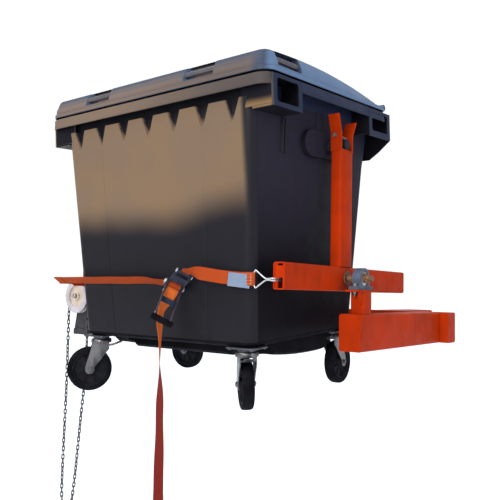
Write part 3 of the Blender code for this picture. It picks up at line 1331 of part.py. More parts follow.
def castor(place, x, y, braked):
    """One swivel castor: top plate, fork with its axle bolt, wheel and, in front, a brake pedal."""
    mount = empty(f"castor_{place}", bin_pose, (x, y, BODY_LOW))
    plate_low = -GAP - CASTOR_PLATE
    race_low = plate_low - RACE_HIGH
    long, wide = CASTOR_PLATE_LONG / 2, CASTOR_PLATE_WIDE / 2
    plate = prism(rounded((-long, -wide), (long, wide), CASTOR_PLATE * 2), plate_low, -GAP, "z")
    race = turned([(RACE_RADIUS, plate_low + CASTOR_PLATE / 2), (RACE_RADIUS, race_low)], "z")
    piece(f"castor_plate_{place}", joined(plate, race), ZINC, mount, (0, 0, 0), CREASE)

    turning = empty(f"swivel_{place}", mount, turn=(0, 0, math.radians(HEADINGS[place])))
    head_top = race_low - GAP
    head_low = head_top - HEAD_HIGH
    axle_z = WHEEL_RADIUS - CASTOR_HIGH
    head = turned([(HEAD_RADIUS - FORK_PLATE, head_top), (HEAD_RADIUS, head_top - HEAD_HIGH / 3),
                   (HEAD_RADIUS, head_low), (HEAD_RADIUS - 2 * FORK_PLATE, head_low - FORK_PLATE / 2)], "z")
    half = FORK_GAP / 2
    crown = box((-half - FORK_PLATE + PROUD, FORK_FRONT + PROUD, head_low - FORK_PLATE),
                (half + FORK_PLATE - PROUD, FORK_CROWN - PROUD, head_low + FORK_PLATE / 2))
    hub = (CASTOR_TRAIL, axle_z)
    leg = [(FORK_FRONT, head_low), (FORK_CROWN, head_low)] + arc(FORK_EYE, *EYE_ARC, hub)
    leg.append((FORK_FRONT, PEDAL_PIVOT_Z - PEDAL_BARREL * 2))
    legs = [prism(leg, side * half, side * (half + FORK_PLATE), "x") for side in (-1, 1)]
    reach = half + FORK_PLATE + AXLE_NUT
    axle = turned([(AXLE_RADIUS, -reach), (AXLE_RADIUS, reach)], "x", hub, ROUND_STEPS // 2)
    root, tip = half + FORK_PLATE / 2, reach - AXLE_NUT / 4
    nuts = [hexagon(AXLE_NUT_RADIUS, side * root, side * tip, "x", hub) for side in (-1, 1)]
    fork = joined(head, crown, *legs, axle, *nuts)
    piece(f"castor_fork_{place}", fork, ZINC, turning, (0, 0, 0), CREASE)

    rolling = empty(f"axle_{place}", turning, (0, CASTOR_TRAIL, axle_z))
    tread, shoulder = TYRE_WIDE / 2, TYRE_WIDE / 6
    disc, hub = DISC_WIDE / 2, HUB_LONG / 2
    bore = AXLE_RADIUS + RUNNING
    dish = RIM_RADIUS - shoulder
    profile = [(bore, -hub), (HUB_RADIUS, -hub), (dish, -disc),
               (RIM_RADIUS, -tread), (WHEEL_RADIUS - shoulder, -tread), (WHEEL_RADIUS, shoulder - tread),
               (WHEEL_RADIUS, tread - shoulder), (WHEEL_RADIUS - shoulder, tread), (RIM_RADIUS, tread),
               (dish, disc), (HUB_RADIUS, hub), (bore, hub)]
    wheel = turned(profile, "x", steps=FINE_STEPS, hollow=True)
    piece(f"castor_wheel_{place}", wheel, RUBBER, rolling, (0, 0, 0), CREASE)

    if braked:
        pivot = empty(f"pedal_{place}", turning, (0, PEDAL_PIVOT_Y, PEDAL_PIVOT_Z))
        reach = half - RUNNING
        barrel = turned([(PEDAL_BARREL, -reach), (PEDAL_BARREL, reach)], "x", (0, 0), ROUND_STEPS // 2)
        thick = PEDAL_PLATE / 2
        outline = [(0, -thick), (0, thick), (-PEDAL_BEND, PEDAL_PLATE), (-PEDAL_REACH, PEDAL_RISE + thick),
                   (-PEDAL_REACH, PEDAL_RISE - thick), (-PEDAL_BEND, 0)]
        plate = prism(outline, -PEDAL_WIDE / 2, PEDAL_WIDE / 2, "x")
        piece(f"brake_pedal_{place}", joined(barrel, plate), ZINC, pivot, (0, 0, 0), CREASE)


def strap_hook():
    """Double claw hook of bent wire, from the strap's sewn loop into the right arm's lower slot."""
    prong_x = ARM_INNER + SLOT_INNER + HOOK_WIRE + GAP
    upper, lower = HOOK_PRONG_Z + HOOK_PRONG_APART / 2, HOOK_PRONG_Z - HOOK_PRONG_APART / 2
    bend = 3 * HOOK_WIRE
    third = bend / 3
    half = [(prong_x, HOOK_TIP_Y, upper), (prong_x, STRAP_Y + bend, upper),
            (prong_x - third, STRAP_Y + third, upper), (prong_x - bend, STRAP_Y, upper),
            (HOOK_NECK_X, STRAP_Y, upper), (HOOK_BASE_X + bend, STRAP_Y, HOOK_HIGH),
            (HOOK_BASE_X + third, STRAP_Y, HOOK_HIGH - third / 2), (HOOK_BASE_X, STRAP_Y, HOOK_HIGH - bend)]
    other = [(x, y, HOOK_HIGH + HOOK_LOW - z if z > upper + GAP else lower) for x, y, z in reversed(half)]
    shape = swept(half + other, HOOK_WIRE, ROUND_STEPS // 2)
    piece("strap_hook_right", shape, GALVANISED, cradle, (prong_x, HOOK_TIP_Y, HOOK_PRONG_Z), SOFT_CREASE)


# The ratchet's own axes: along the webbing, along its spindle, and square to both
along = Vector(RATCHET_AXES[0]).normalized()
spin = Vector(RATCHET_AXES[1])
spin = (spin - spin.dot(along) * along).normalized()
away = along.cross(spin)
ratchet_turn = Matrix((along, spin, away)).transposed().to_euler()
ratchet = empty("ratchet", cradle, SPINDLE_AT, ratchet_turn)


def in_ratchet(point):
    """A point of the ratchet's own frame, in the cradle's frame."""
    return Vector(SPINDLE_AT) + along * point[0] + spin * point[1] + away * point[2]


def ratchet_frame():
    """Two side plates joined by a base plate and by the bolt that holds the fixed strap."""
    outer = SIDE_INNER + SIDE_PLATE
    front = SIDE_FRONT + SIDE_ROUND
    outline = [(SIDE_FRONT, -SIDE_ROUND), (front, SIDE_LOW), (SIDE_BACK - SIDE_ROUND, SIDE_LOW),
               (SIDE_BACK, -SIDE_ROUND), (SIDE_BACK, SIDE_ROUND), (SIDE_SHOULDER, SIDE_HIGH - SIDE_PLATE),
               (BASE_FRONT, SIDE_HIGH), (front, SIDE_HIGH), (SIDE_FRONT, SIDE_ROUND)]
    base = outer - PROUD
    shape = box((BASE_FRONT, -base, SIDE_LOW + PROUD), (BASE_BACK, base, SIDE_LOW + SIDE_PLATE))
    for side in (-1, 1):
        shape = joined(shape, prism(outline, side * SIDE_INNER, side * outer, "y"))
    centre = (RATCHET_BOLT_X, 0)
    reach = outer + RATCHET_BOLT_TALL / 2
    profile = [(RATCHET_BOLT_RADIUS, -reach), (RATCHET_BOLT_RADIUS, reach)]
    shape = joined(shape, turned(profile, "y", centre, ROUND_STEPS // 2))
    root, tip = outer - SIDE_PLATE / 2, outer + RATCHET_BOLT_TALL
    for side in (-1, 1):
        shape = joined(shape, hexagon(RATCHET_BOLT_HEAD, side * root, side * tip, "y", centre))
    shape = bored(shape, SPINDLE_RADIUS + RUNNING, -2 * outer, 2 * outer, "y")
    piece("ratchet_frame", shape, ZINC, ratchet, (0, 0, 0), CREASE)


def ratchet_spindle():
    """Split spindle that winds the webbing, with its two ratchet wheels."""
    arm_outer = SIDE_INNER + SIDE_PLATE + RUNNING + HANDLE_ARM
    end = arm_outer + RUNNING + RATCHET_WHEEL
    shape = turned([(SPINDLE_RADIUS, -end), (SPINDLE_RADIUS, end)], "y", (0, 0))
    shape = cut(shape, box((-2 * SPINDLE_RADIUS, -SIDE_INNER + RUNNING, -SPINDLE_SLOT / 2),
                           (2 * SPINDLE_RADIUS, SIDE_INNER - RUNNING, SPINDLE_SLOT / 2)))
    for side in (-1, 1):
        wheel = toothed(RATCHET_WHEEL_RADIUS, RATCHET_TOOTH, RATCHET_TEETH, side * (arm_outer + RUNNING),
                        side * (end + PROUD), "y")
        shape = joined(shape, wheel)
    piece("ratchet_spindle", shape, ZINC, ratchet, (0, 0, 0), CREASE)


def ratchet_handle():
    """Long lever of two arms and a round grip, which hangs from the spindle."""
    inner = SIDE_INNER + SIDE_PLATE + RUNNING
    outer = inner + HANDLE_ARM
    low = HANDLE_NECK - HANDLE_LONG
    arm_outline = arc(HANDLE_EYE, *HANDLE_ARC)
    arm_outline += [(-HANDLE_NECK, low), (0, -HANDLE_LONG - HANDLE_NECK / 2), (HANDLE_NECK, low)]
    reach = outer + HANDLE_GRIP_OVER
    profile = [(HANDLE_GRIP_RADIUS, -reach), (HANDLE_GRIP_RADIUS, reach)]
    grip = turned(profile, "y", (0, -HANDLE_LONG), ROUND_STEPS // 2)
    half, wide = HANDLE_ARM / 2, outer - PROUD
    brace = box((-half, -wide, -BRACE_FAR), (half, wide, -BRACE_NEAR))
    shape = joined(grip, brace)
    for side in (-1, 1):
        shape = joined(shape, prism(arm_outline, side * inner, side * outer, "y"))
    shape = bored(shape, SPINDLE_RADIUS + RUNNING, -2 * outer, 2 * outer, "y")
    piece("ratchet_handle", shape, BLACK, ratchet, (0, 0, 0), CREASE)


def webbing_roll():
    """Three turns of webbing wound on the spindle, as one unbroken strip."""
    path, sides = [], []
    steps = TURN_STEPS * ROLL_TURNS
    for step in range(steps + 1):
        turn = ROLL_TURNS * step / steps
        angle = 2 * math.pi * turn + math.pi / 2
        radius = ROLL_START + ROLL_PITCH * turn
        path.append(in_ratchet((radius * math.cos(angle), 0, radius * math.sin(angle))))
        sides.append(spin)
    shape = ribbon(path, sides, STRAP_WIDE, STRAP_THICK)
    piece("webbing_roll", shape, WEBBING, cradle, SPINDLE_AT, SOFT_CREASE)


def turning(first, last, count, start, share):
    """Width directions at each point, which turn from the first to the last over a share of the way."""
    sides = []
    for step in range(count):
        turn = min(max((step / (count - 1) - start) / share, 0.0), 1.0)
        sides.append(first.lerp(last, turn).normalized())
    return sides


def straps():
    """Flat webbing from the hook to the ratchet, and from its roll round to the left anchor."""
    start = in_ratchet((RATCHET_BOLT_X + RATCHET_BOLT_RADIUS + GAP + STRAP_THICK / 2, 0, 0))
    end = Vector((HOOK_BASE_X - HOOK_WIRE - GAP, STRAP_Y, STRAP_RIGHT_HIGH))
    clear = start + along * (SIDE_BACK - RATCHET_BOLT_X)
    path = [start] + smooth_path([clear, *STRAP_RIGHT_ROUTE, end], STRAP_RIGHT_POINTS - 1)
    sides = turning(-spin, Vector((0, 0, 1)), STRAP_RIGHT_POINTS, *RIGHT_TURN_SHARES)
    shape = ribbon(path, sides, STRAP_WIDE, STRAP_THICK, STRAP_GATHER_SHARES)
    piece("strap_right", shape, WEBBING, cradle, tuple(end), SOFT_CREASE)

    start = in_ratchet((-ROLL_PITCH / 2, 0, ROLL_START + ROLL_PITCH * ROLL_TURNS))
    end = Vector((STRAP_LEFT_END, STRAP_LEFT_Y, STRAP_LEFT_HIGH))
    clear = start - along * ROLL_START * 2 + away * ROLL_PITCH / 2
    path = [start, start - along * ROLL_START]
    path += smooth_path([clear, *STRAP_LEFT_ROUTE, end], STRAP_LEFT_POINTS - 2)
    sides = turning(-spin, Vector(STRAP_LEFT_SIDE), STRAP_LEFT_POINTS, *LEFT_TURN_SHARES)
    shape = ribbon(path, sides, STRAP_WIDE, STRAP_THICK)
    piece("strap_left", shape, WEBBING, cradle, tuple(end), SOFT_CREASE)


def strap_tail():
    """Loose end of the webbing, which hangs from the ratchet's spindle."""
    rim = ROLL_START + ROLL_PITCH * (ROLL_TURNS - 0.5) + STRAP_THICK / 2
    start = in_ratchet((0, 0, -rim - 3 * GAP / 2))
    path = [start] + smooth_path([start - away * ROLL_PITCH * 2, *TAIL_ROUTE], TAIL_POINTS - 1)
    sides = turning(spin, Vector(TAIL_SIDE), TAIL_POINTS, *TAIL_TURN_SHARES)
    shape = ribbon(path, sides, STRAP_WIDE, STRAP_THICK)
    piece("strap_tail", shape, WEBBING, cradle, tuple(start), SOFT_CREASE)


cross_beam()
for side, word in ((1, "right"), (-1, "left")):
    side_box(f"side_box_{word}", side)
    fork_sleeve(f"fork_sleeve_{word}", side)
    clamp_screw(f"clamp_screw_{word}", side, attachment)
    arm(f"arm_{word}", side)
    post(f"post_{word}", side)
    saddle(f"saddle_{word}", side)
    lock_pin(f"lock_pin_{word}", side, empty(f"lock_pin_axis_{word}", cradle,
                                             (side * (ARM_OUTER - LOCK_PIN_INSET), 0, LOCK_PIN_HIGH)))
    trunnion(f"trunnion_{word}", side)
pedestal()
pillow_block()
bearing_ring()
block_bolt("block_bolt_front_right", -1)
block_bolt("block_bolt_rear_right", 1)
shaft_right()
worm_output()
gearbox_case()
gearbox_cover()
drive_bracket()
drive_tongue()
drive = empty("drive_axis", attachment, (WORM_X, 0, -WORM_DROP))
worm_shaft(drive)
chain_wheel(drive)
chain_over_wheel()
hand_chain()
cross_tube()
strap_anchor()
bin_body()
bin_lid()
hinge_rod()
castor("front_left", -CASTOR_X, CASTOR_FRONT, True)
castor("front_right", CASTOR_X, CASTOR_FRONT, True)
castor("rear_right", CASTOR_X, CASTOR_BACK, False)
castor("rear_left", -CASTOR_X, CASTOR_BACK, False)
strap_hook()
ratchet_frame()
ratchet_spindle()
ratchet_handle()
webbing_roll()
straps()
strap_tail()
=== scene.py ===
"""The bin tipper with its four-wheeled bin, dressed on its CAD frame, seen as in the photograph."""

import bisect
import json
import math

import bmesh
import bpy
from mathutils import Matrix, Vector

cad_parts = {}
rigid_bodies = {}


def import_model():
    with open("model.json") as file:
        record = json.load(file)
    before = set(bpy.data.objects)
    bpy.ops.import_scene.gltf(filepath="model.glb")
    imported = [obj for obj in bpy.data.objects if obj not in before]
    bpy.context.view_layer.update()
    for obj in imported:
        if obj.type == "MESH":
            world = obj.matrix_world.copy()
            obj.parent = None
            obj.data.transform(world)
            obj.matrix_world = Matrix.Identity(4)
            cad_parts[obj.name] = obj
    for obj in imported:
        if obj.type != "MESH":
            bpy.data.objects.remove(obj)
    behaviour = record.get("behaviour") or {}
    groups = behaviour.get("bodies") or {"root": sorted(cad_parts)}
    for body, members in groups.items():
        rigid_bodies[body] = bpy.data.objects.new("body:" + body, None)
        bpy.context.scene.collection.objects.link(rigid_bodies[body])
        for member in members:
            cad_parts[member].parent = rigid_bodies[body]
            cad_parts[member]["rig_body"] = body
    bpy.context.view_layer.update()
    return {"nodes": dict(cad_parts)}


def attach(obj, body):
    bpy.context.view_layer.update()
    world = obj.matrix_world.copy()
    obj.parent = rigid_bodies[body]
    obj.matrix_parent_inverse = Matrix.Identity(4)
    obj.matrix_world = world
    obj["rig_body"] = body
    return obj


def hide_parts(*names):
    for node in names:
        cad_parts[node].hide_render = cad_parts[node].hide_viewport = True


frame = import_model()
nodes = frame["nodes"]
scene = bpy.context.scene

# Frames, in metres: the cradle's own frame and the bin's, which leans in it
SHIFT = Vector((0.0, -1.2715, 0.152))
LEAN = 4.0
ATTACH = Matrix.Translation(SHIFT)
BIN = ATTACH @ Matrix.Rotation(math.radians(LEAN), 4, "X")
FROM_BIN = BIN.inverted()

# Camera, fitted to the photograph
CAMERA_AT = Vector((1.9419, -3.6316, 0.0823))
CAMERA_TURN = math.radians(37.547)
CAMERA_RISE = math.radians(3.867)
CAMERA_ROLL = math.radians(1.172)
CAMERA_LENS = 46.24
CAMERA_SENSOR = 36.0
CAMERA_REACH = (0.05, 400.0)


def shown(name, data):
    """A new object in the scene."""
    made = bpy.data.objects.new(name, data)
    scene.collection.objects.link(made)
    return made


def camera():
    """The camera that the photograph was taken with."""
    forward = Vector((-math.sin(CAMERA_TURN) * math.cos(CAMERA_RISE),
                      math.cos(CAMERA_TURN) * math.cos(CAMERA_RISE), math.sin(CAMERA_RISE)))
    level = Vector((math.cos(CAMERA_TURN), math.sin(CAMERA_TURN), 0.0))
    upright = level.cross(forward)
    right = level * math.cos(CAMERA_ROLL) + upright * math.sin(CAMERA_ROLL)
    up = upright * math.cos(CAMERA_ROLL) - level * math.sin(CAMERA_ROLL)
    lens = bpy.data.cameras.new("camera")
    lens.sensor_fit = "HORIZONTAL"
    lens.sensor_width = CAMERA_SENSOR
    lens.lens = CAMERA_LENS
    lens.clip_start, lens.clip_end = CAMERA_REACH
    made = shown("camera", lens)
    made.matrix_world = Matrix.Translation(CAMERA_AT) @ Matrix((right, up, -forward)).transposed().to_4x4()
    scene.camera = made


camera()


# Material helpers
def network(name):
    """A new material with its nodes, its Principled shader and coordinates in metres."""
    made = bpy.data.materials.new(name)
    made.use_nodes = True
    tree = made.node_tree
    return made, tree, tree.nodes["Principled BSDF"], tree.nodes.new("ShaderNodeTexCoord").outputs["Object"]


def fed(tree, socket, value):
    """Give a socket a number, a colour or another node's output."""
    if isinstance(value, bpy.types.NodeSocket):
        tree.links.new(value, socket)
    elif socket.type == "RGBA":
        socket.default_value = (*value, 1.0)
    else:
        socket.default_value = value


def feed(tree, node, **inputs):
    """Give a node its inputs by name."""
    for name, value in inputs.items():
        fed(tree, node.inputs[name.replace("_", " ")], value)


def added(tree, kind, settings=None, **inputs):
    """A new shader node with its settings, and with inputs by name."""
    made = tree.nodes.new(f"ShaderNode{kind}")
    for name, value in (settings or {}).items():
        setattr(made, name, value)
    feed(tree, made, **inputs)
    return made


def noise(tree, place, scale, detail=3.0, rough=0.55, stretch=None):
    """A noise value over the surface, its grain stretched along the axes when asked."""
    if stretch:
        place = added(tree, "Mapping", Vector=place, Scale=stretch).outputs["Vector"]
    return added(tree, "TexNoise", Vector=place, Scale=scale, Detail=detail, Roughness=rough).outputs["Fac"]


def ramped(tree, value, low, high, first=0.0, last=1.0):
    """A value held between two levels and spread over a new range."""
    return added(tree, "MapRange", {"interpolation_type": "SMOOTHSTEP"}, Value=value, From_Min=low,
                 From_Max=high, To_Min=first, To_Max=last).outputs["Result"]


def mixed(tree, share, first, second):
    """Two colours mixed; the share and each colour may be a socket."""
    made = added(tree, "Mix", {"data_type": "RGBA"})
    for place, value in zip((0, 6, 7), (share, first, second)):
        fed(tree, made.inputs[place], value)
    return made.outputs[2]


def computed(tree, operation, first, second):
    """A sum, product or other operation on two values or sockets."""
    made = added(tree, "Math", {"operation": operation})
    for socket, value in zip(made.inputs, (first, second)):
        fed(tree, socket, value)
    return made.outputs[0]


def bumped(tree, shader, height, depth, strength=0.6):
    """Surface relief from a height value."""
    relief = added(tree, "Bump", Distance=depth, Strength=strength, Height=height)
    feed(tree, shader, Normal=relief.outputs["Normal"])


def axis_value(tree, place, axis):
    """One coordinate of the surface's place or direction."""
    return added(tree, "SeparateXYZ", Vector=place).outputs[axis]


SHEEN_SPREAD = 0.08
# Painted reflection on faces that look ahead: how far they turn, and the tilt and wander of its lower edge
# across the front
REFLECTION_TURN = (-0.90, -0.985)
REFLECTION_TILT = (0.05, 0.55, 0.0, 0.048)
REFLECTION_WANDER = 0.012
FRONT_Y = 1.775
FRONT_Z = 0.421
FRONT_SLOPE = 0.1129
# Painted shade in recesses: how far the front wall steps in before the painted reflection gives way
RECESS_SHADE_EDGE = (0.002, 0.013)
# Warmer and dimmer patches of the painted reflection
REFLECTION_WARM = (1.02, 0.95, 0.84)
REFLECTION_DIM = 0.93
# Painted shade: the stretch of X over which the front colour darkens, and the colour it darkens to
SHADE_RANGE_X = (-0.35, 0.62)
SHADED_FRONT = (0.030, 0.030, 0.034)
LOW_RANGE = (0.05, 0.62)
RUBBED = (0.055, 0.050, 0.052)
# Painted light and shade on the hanging tail: heights between its lit upper part and its shaded lower part
TAIL_LIT = (-0.235, -0.175)


def surface(name, colour, second, roughness, metallic=0.0, patch=7.0, grain=700.0, depth=0.0002,
            specular=0.5, stretch=None):
    """A finish with patches of a second colour, uneven sheen and a fine grain."""
    made, tree, shader, place = network(name)
    patches = ramped(tree, noise(tree, place, patch, 5.0, 0.62, stretch), 0.36, 0.68)
    sheen = ramped(tree, noise(tree, place, patch * 4, 4.0), 0.3, 0.7, roughness - SHEEN_SPREAD,
                   roughness + SHEEN_SPREAD)
    feed(tree, shader, Base_Color=mixed(tree, patches, colour, second), Roughness=sheen, Metallic=metallic,
         Specular_IOR_Level=specular)
    bumped(tree, shader, noise(tree, place, grain, 2.0), depth)
    return made


def painted(name, colour, shade, chip):
    """Brushed-on machine paint with soft waves, dull patches and small chips down to dark steel."""
    made, tree, shader, place = network(name)
    patches = ramped(tree, noise(tree, place, 5.0, 5.0, 0.6), 0.35, 0.7)
    streaks = ramped(tree, noise(tree, place, 22.0, 4.0, 0.6, (1.0, 1.0, 0.22)), 0.5, 0.78, 0.0, 0.55)
    base = mixed(tree, streaks, mixed(tree, patches, colour, shade), tuple(0.55 * level for level in shade))
    specks = ramped(tree, noise(tree, place, 95.0, 4.0, 0.7), 0.70, 0.72)
    feed(tree, shader, Base_Color=mixed(tree, specks, base, chip), Specular_IOR_Level=0.03,
         Roughness=ramped(tree, noise(tree, place, 16.0, 4.0), 0.3, 0.75, 0.36, 0.56))
    bumped(tree, shader, computed(tree, "SUBTRACT", noise(tree, place, 130.0, 3.0), specks), 0.0004, 0.5)
    return made


def moulded(name, dark, front, end, levels=None, low=None, roughness=0.46, specular=0.08,
            turn=(-0.72, -0.95), shade_share=0.0, side=(0.45, 0.90), stop=None):
    """Moulded polyethylene, with a painted warm reflection on faces that look ahead and a painted sky
    reflection on the ends.

    With levels, the painted reflection ends between two heights, and painted shade takes its place where the
    front wall steps in. Painted shade darkens the front towards +X, and the painted reflection ends over the
    stretch of X that stop gives. A low colour darkens the foot.
    """
    made, tree, shader, place = network(name)
    normal = tree.nodes.new("ShaderNodeTexCoord").outputs["Normal"]
    # Faces that look ahead take the painted reflection
    ahead = ramped(tree, axis_value(tree, normal, "Y"), *turn)
    aside = ramped(tree, computed(tree, "ABSOLUTE", axis_value(tree, normal, "X"), 0.0), *side)
    across, depth, height = (axis_value(tree, place, axis) for axis in "XYZ")
    if levels:
        # Painted reflection held between two heights, tilted and wandering across the front
        tilt = ramped(tree, across, *REFLECTION_TILT)
        wander = ramped(tree, noise(tree, place, 2.6, 2.0), 0.3, 0.7, -REFLECTION_WANDER, REFLECTION_WANDER)
        reflection_band = ramped(tree, computed(tree, "ADD", computed(tree, "SUBTRACT", height, tilt), wander), *levels)
        # Painted shade: the reflection gives way where the front wall steps in
        slope = computed(tree, "MULTIPLY", computed(tree, "SUBTRACT", height, FRONT_Z), FRONT_SLOPE)
        inset = computed(tree, "ADD", computed(tree, "ADD", depth, FRONT_Y), slope)
        ahead = computed(tree, "MULTIPLY", reflection_band, ramped(tree, inset, *RECESS_SHADE_EDGE, 1.0, 0.0))
        # Warmer patches of the painted reflection
        reflection_patches = ramped(tree, noise(tree, place, 3.4, 3.0), 0.40, 0.66)
        warmer_reflection = tuple(level * share for level, share in zip(front, REFLECTION_WARM))
        front = mixed(tree, reflection_patches, tuple(level * REFLECTION_DIM for level in front), warmer_reflection)
    # The painted reflection ends over the stretch of X that stop gives
    if stop:
        ahead = computed(tree, "MULTIPLY", ahead, ramped(tree, across, *stop, 1.0, 0.0))
    # Painted shade: the front colour darkens towards +X
    front = mixed(tree, ramped(tree, across, *SHADE_RANGE_X, 0.0, shade_share), front, SHADED_FRONT)
    # Painted sky reflection on faces turned to the ends
    base = mixed(tree, aside, dark, end)
    if low:
        base = mixed(tree, ramped(tree, height, *LOW_RANGE, 1.0, 0.0), base, low)
    tint = mixed(tree, ahead, base, front)
    rub = ramped(tree, noise(tree, place, 26.0, 6.0, 0.7, (1.0, 1.0, 3.0)), 0.56, 0.80, 0.0, 0.16)
    fleck = ramped(tree, noise(tree, place, 150.0, 3.0, 0.6), 0.66, 0.74, 0.0, 0.30)
    sheen = ramped(tree, noise(tree, place, 14.0, 4.0), 0.3, 0.7, roughness - 0.06, roughness + 0.08)
    feed(tree, shader, Base_Color=mixed(tree, fleck, mixed(tree, rub, tint, RUBBED), tint), Roughness=sheen,
         Specular_IOR_Level=specular)
    bumped(tree, shader, noise(tree, place, 420.0, 3.0, 0.6), 0.00025, 0.5)
    return made


def rusted(name, light, brown, dark):
    """Rusty steel in layers of three colours, rough and pitted."""
    made, tree, shader, place = network(name)
    coarse = ramped(tree, noise(tree, place, 55.0, 6.0, 0.65), 0.35, 0.65)
    fine = ramped(tree, noise(tree, place, 260.0, 5.0, 0.7), 0.45, 0.62)
    feed(tree, shader, Base_Color=mixed(tree, fine, mixed(tree, coarse, light, brown), dark), Metallic=0.35,
         Roughness=ramped(tree, fine, 0.0, 1.0, 0.55, 0.85))
    bumped(tree, shader, noise(tree, place, 300.0, 5.0, 0.7), 0.0006, 0.7)
    return made


def woven(name, colour, shade, soiled, deep=None):
    """Flat webbing with ribs and threads along the strap; deep gives darker colours for its lower part:
    painted shade below a painted lit upper part.
    """
    made, tree, shader, place = network(name)
    strip = tree.nodes.new("ShaderNodeUVMap").outputs["UV"]
    threads = []
    for axis, scale, bend in (("X", 160.0, 0.6), ("Y", 230.0, 0.4)):
        bands = {"wave_type": "BANDS", "bands_direction": axis}
        threads.append(added(tree, "TexWave", bands, Vector=strip, Scale=scale,
                             Distortion=bend).outputs["Fac"])
    weave = computed(tree, "MULTIPLY", *threads)
    if deep:
        # Painted light and shade: the upper part keeps its lit colours, the lower part takes shaded ones
        lower = ramped(tree, axis_value(tree, place, "Z"), *TAIL_LIT, 1.0, 0.0)
        colour, shade, soiled = (mixed(tree, lower, above, below)
                                 for above, below in zip((colour, shade, soiled), deep))
    base = mixed(tree, ramped(tree, weave, 0.0, 1.0, 1.0, 0.0), colour, shade)
    grime = computed(tree, "MULTIPLY", ramped(tree, noise(tree, place, 28.0, 5.0, 0.65), 0.35, 0.72), 0.55)
    feed(tree, shader, Base_Color=mixed(tree, grime, base, soiled), Roughness=0.86, Sheen_Weight=0.02,
         Specular_IOR_Level=0.05)
    bumped(tree, shader, weave, 0.0006, 0.7)
    return made


ORANGE = painted("finish_orange", (0.375, 0.025, 0.0015), (0.295, 0.021, 0.002), (0.05, 0.03, 0.025))
# Bin front: painted warm reflection, with painted shade in its recesses, below its lower band and towards +X
BODY = moulded("finish_bin", (0.010, 0.0095, 0.0125), (0.156, 0.107, 0.070), (0.011, 0.010, 0.014),
               (0.300, 0.468), turn=(-0.93, -0.99), shade_share=0.10, stop=(0.478, 0.506))
# End walls: a slightly bluer painted sky reflection on faces turned to the ends
END = moulded("finish_bin_end", (0.010, 0.009, 0.013), (0.011, 0.010, 0.014), (0.017, 0.0155, 0.025),
              low=(0.003, 0.003, 0.005), specular=0.05)
# Rim: painted warm reflection on its front, painted sky reflection on its ends, painted shade towards +X
RIM = moulded("finish_bin_rim", (0.007, 0.007, 0.010), (0.142, 0.103, 0.078), (0.015, 0.020, 0.044),
              (-2.0, -1.0), turn=REFLECTION_TURN, shade_share=0.78)
# Loop webs: painted warm light on their fronts below a painted shadow under the rim, painted sky reflection
# on the ends
WEB = moulded("finish_bin_web", (0.006, 0.006, 0.009), (0.155, 0.098, 0.050), (0.020, 0.026, 0.050),
              (0.760, 0.728), turn=REFLECTION_TURN)
# Painted shade: a darker copy of the bin's plastic for its underside and belly
UNDER_SHADE = surface("finish_bin_under_shade", (0.0035, 0.0033, 0.0045), (0.007, 0.0065, 0.008), 0.7, 0.0, 9.0, 420.0,
                specular=0.03)
# Lid: painted warm reflection on its front, painted blue sky reflection on its ends, painted shade towards
# +X
LID = moulded("finish_lid", (0.034, 0.045, 0.072), (0.138, 0.102, 0.083), (0.096, 0.150, 0.246),
              roughness=0.42, specular=0.10, turn=REFLECTION_TURN, shade_share=0.50, side=(0.55, 0.99),
              stop=(0.545, 0.590))
GRIP = surface("finish_grip", (0.060, 0.060, 0.078), (0.085, 0.072, 0.068), 0.36, patch=18.0, specular=0.3)
# Zinc with high-contrast patches stretched upright: real mottling of the plating, with painted reflection
# streaks
ZINC = surface("finish_zinc", (0.17, 0.165, 0.17), (0.045, 0.045, 0.050), 0.34, 0.9, 20.0, 500.0,
               stretch=(1.0, 1.0, 0.3))
ZINC_DARK = surface("finish_zinc_dull", (0.10, 0.105, 0.12), (0.050, 0.054, 0.062), 0.42, 0.8, 22.0, 500.0,
                    0.0003)
NAVY = surface("finish_navy", (0.014, 0.018, 0.034), (0.028, 0.034, 0.058), 0.40, 0.3, 30.0, 400.0, 0.0003,
               0.3)
TYRE = surface("finish_tyre", (0.0035, 0.0035, 0.005), (0.008, 0.008, 0.010), 0.78, 0.0, 20.0, 900.0,
               0.0001, 0.03)
WHEEL = surface("finish_wheel_centre", (0.007, 0.007, 0.010), (0.014, 0.014, 0.017), 0.55, 0.0, 24.0, 700.0,
                0.0001, 0.06)
STEEL = surface("finish_steel", (0.40, 0.38, 0.36), (0.24, 0.22, 0.20), 0.38, 0.9, 40.0, 600.0)
RUST = rusted("finish_rust", (0.30, 0.15, 0.075), (0.16, 0.065, 0.030), (0.05, 0.025, 0.018))
CAST = surface("finish_cast", (0.070, 0.092, 0.135), (0.045, 0.055, 0.078), 0.55, 0.1, 16.0, 240.0, 0.0007,
               0.4)
CREAM = surface("finish_cream", (0.56, 0.47, 0.37), (0.43, 0.35, 0.28), 0.5, 0.0, 16.0, 320.0, 0.0005, 0.35)
LILAC = surface("finish_wheel_rim", (0.46, 0.42, 0.44), (0.33, 0.30, 0.32), 0.5, 0.1, 20.0, 320.0, 0.0005,
                0.35)
BLACK = surface("finish_black", (0.016, 0.016, 0.020), (0.030, 0.029, 0.033), 0.46, 0.0, 18.0, 300.0,
                0.0004, 0.35)
CHAIN = rusted("finish_chain", (0.080, 0.076, 0.072), (0.050, 0.046, 0.042), (0.028, 0.026, 0.024))
WIRE = surface("finish_wire", (0.62, 0.63, 0.64), (0.42, 0.43, 0.44), 0.36, 0.9, 60.0, 700.0, 0.0001)
WEBBING = woven("finish_webbing", (0.43, 0.064, 0.010), (0.28, 0.038, 0.007), (0.25, 0.048, 0.015))
